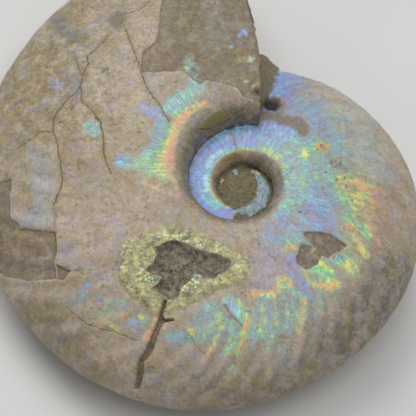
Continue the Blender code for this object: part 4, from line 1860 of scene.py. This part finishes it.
class ShellFinish:
    """The finish of the fossil: aged shell, nacre, bare patches, crust, stone and cracks."""

    BUMP = 1.0
    FINE_HEIGHT = 0.012
    PORE_DEPTH = 0.05
    WRINKLE_WIDTH = 0.012
    WRINKLE_DEPTH = 0.03
    PASTEL = (
        (0.00, (162, 156, 210)),
        (0.12, (140, 158, 222)),
        (0.25, (142, 180, 222)),
        (0.38, (148, 188, 184)),
        (0.50, (160, 196, 158)),
        (0.62, (188, 204, 146)),
        (0.72, (212, 200, 140)),
        (0.82, (216, 176, 136)),
        (0.92, (208, 158, 154)),
        (1.00, (180, 158, 184)),
    )
    VIVID = (
        (0.00, (150, 136, 240)),
        (0.12, (122, 154, 252)),
        (0.25, (128, 212, 254)),
        (0.38, (124, 240, 216)),
        (0.50, (140, 248, 140)),
        (0.62, (206, 252, 120)),
        (0.72, (252, 238, 112)),
        (0.82, (254, 192, 108)),
        (0.92, (254, 156, 136)),
        (1.00, (240, 146, 196)),
    )
    CRESCENT = (
        (0.0, (112, 146, 156)),
        (0.35, (134, 164, 166)),
        (0.65, (150, 166, 176)),
        (1.0, (166, 160, 190)),
    )
    GLINTS = (
        (0.0, (0.25, 0.85, 0.3)),
        (0.4, (0.85, 0.85, 0.3)),
        (0.7, (0.9, 0.95, 0.8)),
        (1.0, (0.3, 0.7, 0.75)),
    )
    AGED = (
        Blotch(Tone.OCHRE, 3.0, 23.0, 0.0, 0.4, 0.2, 0.4, 6.0),
        Blotch(Tone.CREAM, 2.0, 29.0, 0.05, 0.45, 0.35, 0.3, 6.0),
        Blotch(Tone.PINK_BEIGE, 2.4, 107.0, 0.05, 0.5, 0.45, -0.2, 6.0),
        Blotch(Tone.LAVENDER, 2.8, 151.0, 0.05, 0.5, 0.3, 0.0, 6.0),
        Blotch(Tone.ASH, 2.2, 47.0, 0.15, 0.5, 0.12, 0.4, 6.0),
    )
    RUSTED = (Blotch(Tone.OCHRE, 1.4, 37.0, 0.05, 0.6, 0.4, 0.3, 6.0),)
    BARE = (
        Blotch(Tone.OCHRE, 0.9, 37.0, 0.2, 0.8, 0.5, detail=4.0),
        Blotch(Tone.GREY_BEIGE, 1.5, 67.0, 0.1, 0.6, 0.7),
        Blotch(Tone.CREAM, 2.0, 157.0, 0.15, 0.6, 0.35),
        Blotch(Tone.UMBER, 1.6, 83.0, 0.15, 0.7, 0.5),
    )
    PIT_FLOOR = (
        Blotch(Tone.OLIVE, 1.0, 131.0, 0.0, 0.5, 0.6),
        Blotch(Tone.GREY_BEIGE, 1.3, 139.0, 0.1, 0.5, 0.75),
        Blotch(Tone.CRACK, 1.1, 149.0, 0.1, 0.5, 0.6),
    )
    CORE = (Blotch(Tone.RUST, 0.9, 79.0, 0.2, 0.8, 0.6, detail=4.0),)

    def __init__(self, gloss: Gloss, ribs: float) -> None:
        """Start the finish with the plain aged shell.

        Args:
            gloss: how rough and how coated each part is.
            ribs: how many fine ribs a turn has.
        """
        self.gloss = gloss
        self.board = Board("fossil_shell")
        self.ragged = self.board.wave(1.1, 4.0, 3.0)
        self.fine = self.board.wave(0.36, 3.0, 7.0)
        self.worn = self.board.number("worn")
        broad = self.board.wave(7.0, 3.0, 13.0)
        bend = self.board.number("growth") * (math.pi * ribs) + self.ragged * 0.7 + broad * 2.0
        shown = self.board.number("share").step(0.35, 0.7) * (0.4 + broad.step(-0.3, 0.5))
        self.rib = bend.maths("SINE", bend, 0.0) * shown
        self.colour = self.board.paint("ground")
        self.roughness: Value | float = gloss.shell
        self.coat: Value | float = 0.0
        self.height = self.fine * self.FINE_HEIGHT

    def lay(self, mask: Value, colour: Value | Tone, roughness: float) -> None:
        """Lay a finish over what is there.

        Args:
            mask: where it lies, from 0 to 1.
            colour: its colour.
            roughness: how rough it is.
        """
        self.colour = self.board.mix(mask, self.colour, colour)
        self.roughness = mask * roughness + (1.0 - mask) * self.roughness
        self.coat = (1.0 - mask) * self.coat

    def tint(self, mask: Value, tone: Value | Tone) -> None:
        """Colour the surface where a mask says, and leave its gloss as it is."""
        self.colour = self.board.mix(mask, self.colour, tone)

    def shade(self, amount: Value) -> None:
        """Multiply the colour."""
        self.colour = self.board.lighten(self.colour, amount)

    def blotched(self, colour: Value, blotches: tuple[Blotch, ...]) -> Value:
        """Lay blotches over a colour, one after the other.

        Args:
            colour: what they lie on.
            blotches: the blotches.

        Returns:
            The blotched colour.
        """
        board = self.board
        for one in blotches:
            mask = board.wave(one.size, one.detail, one.seed).step(one.low, one.high)
            strength = one.strength + one.worn * self.worn if one.worn else one.strength
            colour = board.mix(mask * strength, colour, one.tone)
        return colour

    @staticmethod
    def colour_stops(table: Stops) -> Stops:
        """Turn a table of screen colours into a ramp's stops."""
        return tuple((place, linear_light(colour)) for place, colour in table)

    def grained(self, tone: Tone, ragged: float, fine: float, level: float = 1.0) -> Value:
        """Give a tone with a grain at two scales."""
        return self.board.lighten(self.board.flat(tone), level + self.ragged * ragged + self.fine * fine)

    def mottle(self) -> None:
        """Mottle the aged shell at several scales, with ochre and pale blotches and dark pores."""
        board = self.board
        worn = self.worn
        self.colour = self.blotched(self.colour, self.AGED)
        faded = 1.0 - 0.6 * worn
        self.tint(self.rib.step(0.0, 1.0) * faded * 0.25, Tone.PINK_BEIGE)
        self.tint((self.rib * -1.0).step(0.0, 1.0) * faded * 0.3, Tone.RESIN)
        self.colour = self.blotched(self.colour, self.RUSTED)
        self.wrinkle(2.2, 97.0, Tone.RESIN, 0.1 + 0.45 * worn)
        self.wrinkle(1.2, 101.0, Tone.BROWN, 0.18 + 0.4 * worn)
        pores = board.wave(0.7, 3.0, 53.0).step(0.3, 0.6) * board.wave(3.5, 2.0, 59.0).step(-0.2, 0.4)
        self.tint(pores * 0.6, Tone.OLIVE)
        self.height = self.height - pores * self.PORE_DEPTH
        middle = board.wave(2.2, 4.0, 17.0) * (0.14 + 0.14 * worn)
        small = board.wave(0.75, 3.0, 19.0) * 0.18
        self.shade(1.03 + board.wave(8.0, 3.0, 11.0) * 0.06 + middle + small + self.fine * 0.19)

    def wrinkle(self, size: float, seed: float, tone: Tone, strength: Value) -> None:
        """Draw fine wrinkles where a noise crosses zero.

        Args:
            size: how far apart they run.
            seed: which noise.
            tone: their colour.
            strength: how strongly they colour the surface.
        """
        crossing = self.board.wave(size, 5.0, seed)
        line = (1.0 - (crossing * crossing).step(0.0, self.WRINKLE_WIDTH)) * strength
        self.tint(line, tone)
        self.height = self.height - line * self.WRINKLE_DEPTH

    def nacre(self) -> None:
        """Lay the nacre: a soft glow with bright flecks in streaks along the growth lines, and near-white
        painted highlights.
        """
        board = self.board
        arc = board.number("arc")
        out = board.number("out")
        ray = board.wave(1.0, 3.0, 2.0, board.vector(arc, out, (0.42, 7.0)))
        streak = board.wave(1.0, 4.0, 0.0, board.vector(arc, out, (0.6, 3.2)))
        fleck = board.wave(1.0, 3.0, 5.0, board.vector(arc, out, (0.45, 0.8)))
        broad = board.wave(3.0, 4.0, 31.0)
        amount = board.number("nacre")
        busy = (amount + broad * 0.3).step(0.3, 0.8)
        base = board.number("film")
        warm = base.step(0.42, 0.7)
        swing = streak * (0.06 + warm * 0.14) + ray * 0.06
        film = base + broad * 0.08 + self.rib * 0.06
        glow = board.ramp(film + swing + self.fine * 0.05, self.colour_stops(self.PASTEL))
        light = 0.98 + streak * 0.12 + ray * 0.16 + fleck * busy * 0.2 + self.ragged * 0.1 + self.fine * 0.12
        glow = board.lighten(glow, light)
        edge = amount.step(0.0, 0.25)
        mask = amount * 1.3 + (broad * 0.3 + self.ragged * 0.3 + streak * 0.2 + fleck * 0.1) * edge - 0.15
        self.lay(mask.step(0.0, 0.85) * 0.88, glow, self.gloss.nacre)
        lively = fleck * (0.34 - 0.12 * warm) + streak * (0.18 + warm * 0.34) + ray * 0.14 + self.fine * 0.2
        sparks = amount * 0.64 + lively * (0.4 + 0.6 * busy) + broad * 0.14
        spark = board.ramp(film + swing + fleck * 0.14, self.colour_stops(self.VIVID))
        self.lay(sparks.step(0.48, 0.8) * edge * 0.9, spark, self.gloss.nacre)
        # painted highlights, and painted glints scattered over the nacre, laid in near-white
        shine = (board.number("shine") * (1.0 + ray * 0.5 + streak * 0.3)).step(0.1, 1.5)
        painted_glints = (fleck * 0.5 + streak * 0.4 + self.fine * 0.4).step(0.45, 0.9) * amount
        self.tint((painted_glints * 0.6).at_least(shine).step(0.0, 1.0), Tone.PAINTED_HIGHLIGHT)
        dirt = (board.wave(0.6, 4.0, 61.0) + 0.4 * fleck).step(0.25, 0.8) * amount
        clean = amount.step(0.6, 0.85) * 0.42
        self.tint(dirt * (0.5 - clean), Tone.DARK_BEIGE)
        self.wrinkle(1.3, 109.0, Tone.DARK_BEIGE, amount * (0.5 - clean))
        self.coat = amount.at_most(1.0) * self.gloss.nacre_coat
        self.height = self.height + streak * self.FINE_HEIGHT * amount

    def bare_patches(self) -> None:
        """Lay the patches where the shell has flaked away, with a pale edge round each and a painted shadow
        just inside it.
        """
        board = self.board
        flake = board.number("flakes") + self.fine * 0.1 + self.ragged * 0.1
        edge = flake.step(-0.5, -0.05) * (1.0 - flake.step(-0.05, 0.03)) * (self.ragged + 0.4).step(0.0, 1.0)
        self.tint(edge * 0.6, Tone.CREAM)
        growth = board.vector(board.number("arc"), board.number("out"), (0.5, 6.0))
        lines = board.wave(1.0, 4.0, 41.0, growth)
        light = 1.02 + self.ragged * 0.32 + self.fine * 0.26 + lines * 0.16
        brown = board.lighten(board.paint("bare"), light)
        mask = flake.step(-0.05, 0.06)
        self.lay(mask, self.blotched(brown, self.BARE), self.gloss.bare)
        self.wrinkle(1.6, 113.0, Tone.GREY_BEIGE, mask * 0.5)
        self.wrinkle(2.4, 127.0, Tone.UMBER, mask * 0.3)
        # painted shadow: a darker band just inside each patch's edge, under the step of the shell
        inner = mask * (1.0 - flake.step(0.05, 0.4)) * (self.ragged + 0.5).step(0.0, 1.0)
        self.shade(1.0 - inner * 0.2)

    def stains(self) -> None:
        """Lay the grey stain, the soil and the dark specks."""
        board = self.board
        stain = (board.number("stain") + self.ragged * 0.3).step(-0.3, 0.7)
        self.lay(stain * 0.75, self.grained(Tone.DARK_BEIGE, 0.14, 0.2), self.gloss.bare)
        soil = (board.number("soil") * (1.0 + self.ragged * 0.8 + self.fine * 0.3)).step(0.1, 0.8)
        self.lay(soil * 0.9, self.grained(Tone.BROWN, 0.16, 0.25), self.gloss.bare)
        speck = (board.number("speck") + self.fine * 0.3).step(0.35, 0.7)
        self.lay(speck * 0.75, self.grained(Tone.UMBER, 0.2, 0.4), self.gloss.bare)

    def crust(self) -> None:
        """Lay the greenish crust and its glints."""
        board = self.board
        depth = board.number("crust")
        tone = board.mix(board.wave(1.0, 5.0, 71.0).step(-0.1, 0.5), Tone.CRUST, Tone.OLIVE)
        bright = board.wave(1.3, 5.0, 89.0).step(0.0, 0.6) * depth.step(0.3, 1.4)
        tone = board.mix(bright * 0.8, tone, Tone.LICHEN)
        light = 0.98 + board.wave(2.0, 5.0, 163.0) * 0.2 + self.ragged * 0.45 + self.fine * 0.45
        mask = (depth + self.ragged * 0.5).step(0.0, 0.9)
        self.lay(mask * 0.9, board.lighten(tone, light), self.gloss.crust)
        distance, colour = board.cells(0.5)
        split = board.node("ShaderNodeSeparateColor", {}, {0: colour})
        glint = board.ramp(Value(board, split.outputs[1]), self.GLINTS)
        sparkle = board.number("sparkle")
        chosen = (Value(board, split.outputs[0]) + sparkle * 0.6).step(0.8, 0.82)
        near = (1.0 - distance.step(0.3, 0.6)) * chosen * depth.step(0.0, 0.4)
        self.tint(near * (0.35 + sparkle).at_most(0.95), glint)

    def pit(self) -> None:
        """Lay the rough floor of the pit in the crust."""
        pit = self.board.number("pit") + self.fine * 0.12 + self.ragged * 0.15
        floor = self.blotched(self.grained(Tone.PIT, 0.5, 0.8), self.PIT_FLOOR)
        self.lay(pit.step(-0.05, 0.12), floor, self.gloss.pit)

    def stone(self) -> None:
        """Lay the stone in the umbilicus, the crescent of nacre on it and the crystal in its wall."""
        board = self.board
        core = self.blotched(self.grained(Tone.STONE, 0.3, 0.55), self.CORE)
        self.lay((board.number("stone") + self.fine * 0.12).step(0.35, 0.6), core, self.gloss.stone)
        pale = board.ramp(self.ragged.step(-0.9, 0.9), self.colour_stops(self.CRESCENT))
        pale = board.lighten(pale, 0.88 + board.wave(0.7, 3.0, 103.0) * 0.25 + self.fine * 0.3)
        self.lay((board.number("island") + self.fine * 0.06).step(-0.02, 0.08), pale, self.gloss.nacre)
        dot = board.ramp(board.number("core_film"), self.colour_stops(self.PASTEL))
        self.lay((board.number("core") + self.fine * 0.15).step(0.3, 0.7) * 0.85, dot, self.gloss.nacre)
        crystal = self.grained(Tone.CRYSTAL, 0.12, 0.05)
        self.lay(board.number("crystal").step(0.0, 0.1), crystal, self.gloss.crystal)

    def broken_end(self) -> None:
        """Lay the stone of the broken end, inside a thin pale rim of shell."""
        board = self.board
        cut = board.number("cut")
        rim = board.number("rim") + self.ragged * 0.15
        fill = board.mix(board.wave(2.5, 4.0, 43.0).step(-0.4, 0.5), Tone.DARK_BEIGE, Tone.OLIVE)
        fill = board.lighten(fill, 1.0 + self.ragged * 0.2 + self.fine * 0.2)
        self.lay(cut * rim.step(0.7, 1.1), fill, self.gloss.stone)
        self.shade(1.0 - cut * rim.step(0.6, 0.9) * (1.0 - rim.step(1.0, 1.5)) * 0.35)

    def openings(self) -> None:
        """Darken the cracks, the gape and the seam, and fill the holes with painted shade."""
        board = self.board
        ink = (board.number("ink") * (0.85 + self.ragged * 0.4)).at_most(1.0)
        distance = board.number("crack")
        halo = 1.0 - (distance + self.ragged * 0.35).step(0.1, 0.9)
        self.tint(halo * ink * 0.45, Tone.RESIN)
        crack = 1.0 - (distance + self.fine * 0.05).step(0.02, 0.13)
        self.lay(crack * ink * 0.8, Tone.CRACK, self.gloss.pit)
        gape = (board.number("gape") + self.fine * 0.05).step(-0.05, 0.1)
        self.lay(gape, self.grained(Tone.BROWN, 0.3, 0.45, 0.95), self.gloss.pit)
        # painted shade: the holes filled with a near-black brown
        hole = (board.number("hole") + self.ragged * 0.3).step(-0.4, 0.6)
        self.lay(hole * 0.95, self.grained(Tone.HOLLOW, 0.3, 0.4), self.gloss.pit)
        seam = 1.0 - (board.number("seam") + self.fine * 0.08 + self.ragged * 0.06).step(0.06, 0.3)
        self.lay(seam * 0.65, Tone.CRACK, self.gloss.pit)

    def build(self) -> bpy.types.Material:
        """Lay every finish in its order, and add the shader.

        Returns:
            The material.
        """
        self.mottle()
        self.bare_patches()
        self.nacre()
        self.stains()
        self.crust()
        self.pit()
        self.stone()
        self.broken_end()
        self.openings()
        board = self.board
        raised = {"Height": self.height, "Distance": METRES, "Strength": self.BUMP}
        bump = board.node("ShaderNodeBump", {}, raised)
        shader = board.node("ShaderNodeBsdfPrincipled", {}, {
            "Base Color": self.colour,
            "Roughness": self.roughness,
            "Coat Weight": self.coat,
            "Coat Roughness": self.gloss.coat_roughness,
            "Normal": Value(board, bump.outputs[0]),
        })
        board.node("ShaderNodeOutputMaterial", {}, {0: Value(board, shader.outputs[0])})
        return board.material


@dataclass
class Ammonite:
    """The fossil, as one piece."""

    coil: Coil = field(default_factory=Coil)
    laying: Laying = field(default_factory=Laying)
    camera: PhotoCamera = field(default_factory=PhotoCamera)
    marks: Marks = field(default_factory=Marks)
    brushwork: Brushwork = field(default_factory=Brushwork)
    relief: Relief = field(default_factory=Relief)
    spacing: Spacing = field(default_factory=Spacing)
    gloss: Gloss = field(default_factory=Gloss)

    def build(self) -> bpy.types.Object:
        """Build the fossil's mesh, carve it, paint it and give it its finish.

        Returns:
            The fossil's object.
        """
        shell = ShellMesh(self.coil, self.camera, self.marks, self.spacing)
        form = shell.build()
        return self.dress(form, shell.read())

    def dress(self, form: bmesh.types.BMesh, places: Places) -> bpy.types.Object:
        """Carve and paint the smooth form, and give it its finish.

        Args:
            form: the smooth mesh in the coil's frame; it is used up.
            places: where its points lie on the coil.

        Returns:
            The fossil's object.
        """
        survey = Survey(self.camera, self.marks, places.points)
        push = Carving(self.coil, self.relief, survey, places).push()
        paint = Painting(self.coil, self.brushwork, survey, places).values()
        place = self.laying.matrix()
        for vert, row in zip(form.verts, places.points + push[:, None] * places.normals):
            vert.co = place @ Vector(row)
            vert.co.z = max(vert.co.z, 0.0)
        mesh = bpy.data.meshes.new("ammonite_shell")
        form.to_mesh(mesh)
        form.free()
        mesh.shade_smooth()
        for name, values in paint.items():
            self.store(mesh, name, values)
        mesh.materials.append(ShellFinish(self.gloss, self.relief.ribs_a_turn).build())
        piece = bpy.data.objects.new("ammonite_shell", mesh)
        bpy.context.scene.collection.objects.link(piece)
        return piece

    @staticmethod
    def store(mesh: bpy.types.Mesh, name: str, values: np.ndarray) -> None:
        """Keep a value for each point of the mesh, or a colour where it has three parts.

        Args:
            mesh: the mesh.
            name: what the finish calls the value.
            values: one row for each point.
        """
        if values.ndim == 1:
            mesh.attributes.new(name, "FLOAT", "POINT").data.foreach_set("value", values.astype(np.float32))
            return
        full = np.column_stack([values, np.ones(len(values))]).astype(np.float32)
        mesh.attributes.new(name, "FLOAT_COLOR", "POINT").data.foreach_set("color", full.ravel())


@dataclass(frozen=True)
class Lamp:
    """A square soft light, with its place and size in metres and its power in watts."""

    name: str
    place: Place
    size: float
    watts: float


@dataclass
class Studio:
    """The floor, the lights and the air."""

    floor_size: float = 3.0
    floor_gap: float = 0.0001
    floor_roughness: float = 0.7
    floor_cloud: float = 40.0
    floor_dim: Colour = (0.72, 0.72, 0.71, 1.0)
    floor_light: Colour = (0.76, 0.76, 0.75, 1.0)
    air: float = 0.3
    air_colour: Colour = (1.0, 1.0, 1.0, 1.0)
    target: Place = (0.0, 0.0, 0.012)
    window: Lamp = Lamp("window", (-0.35, 0.75, 1.1), 0.9, 8.0)
    ceiling: Lamp = Lamp("ceiling", (0.25, -0.1, 1.35), 1.0, 6.0)

    def build_floor(self) -> bpy.types.Object:
        """Lay the plain pale floor.

        Returns:
            The floor's object.
        """
        form = bmesh.new()
        bmesh.ops.create_grid(form, x_segments=1, y_segments=1, size=self.floor_size / 2)
        bmesh.ops.translate(form, verts=form.verts, vec=(0.0, 0.0, -self.floor_gap))
        mesh = bpy.data.meshes.new("floor")
        form.to_mesh(mesh)
        form.free()
        board = Board("pale_floor")
        cloud = board.wave(self.floor_cloud, 2.0).step(-1.0, 1.0)
        tone = board.mix(cloud, self.floor_dim, self.floor_light)
        inputs = {"Base Color": tone, "Roughness": self.floor_roughness}
        shader = board.node("ShaderNodeBsdfPrincipled", {}, inputs)
        board.node("ShaderNodeOutputMaterial", {}, {0: Value(board, shader.outputs[0])})
        mesh.materials.append(board.material)
        floor = bpy.data.objects.new("floor", mesh)
        bpy.context.scene.collection.objects.link(floor)
        return floor

    def add_light(self, lamp: Lamp) -> None:
        """Hang a light that faces the fossil.

        Args:
            lamp: the light.
        """
        data = bpy.data.lights.new(lamp.name, "AREA")
        data.size = lamp.size
        data.energy = lamp.watts
        light = bpy.data.objects.new(lamp.name, data)
        light.location = lamp.place
        light.rotation_euler = (Vector(self.target) - Vector(lamp.place)).to_track_quat("-Z", "Y").to_euler()
        bpy.context.scene.collection.objects.link(light)

    def build(self) -> bpy.types.Object:
        """Build the studio.

        Returns:
            The floor's object.
        """
        scene = bpy.context.scene
        scene.view_settings.view_transform = "Standard"
        world = bpy.data.worlds.new("soft_air")
        world.use_nodes = True
        background = world.node_tree.nodes["Background"]
        background.inputs["Color"].default_value = self.air_colour
        background.inputs["Strength"].default_value = self.air
        scene.world = world
        self.add_light(self.window)
        self.add_light(self.ceiling)
        return self.build_floor()


def main() -> None:
    """Build the scene, with a fixed seed, as the noise would otherwise start from the time of day."""
    logging.basicConfig(level=logging.INFO, format="%(name)s: %(message)s")
    noise.seed_set(NOISE_SEED)
    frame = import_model()
    ammonite = Ammonite()
    ammonite.camera.build(ammonite.laying)
    shell = ammonite.build()
    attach(shell, BODY)
    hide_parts(NODE)
    LOG.info("%s: %d faces for %s", shell.name, len(shell.data.polygons), ", ".join(frame["nodes"]))
    Studio().build()


if __name__ == "__main__":
    main()
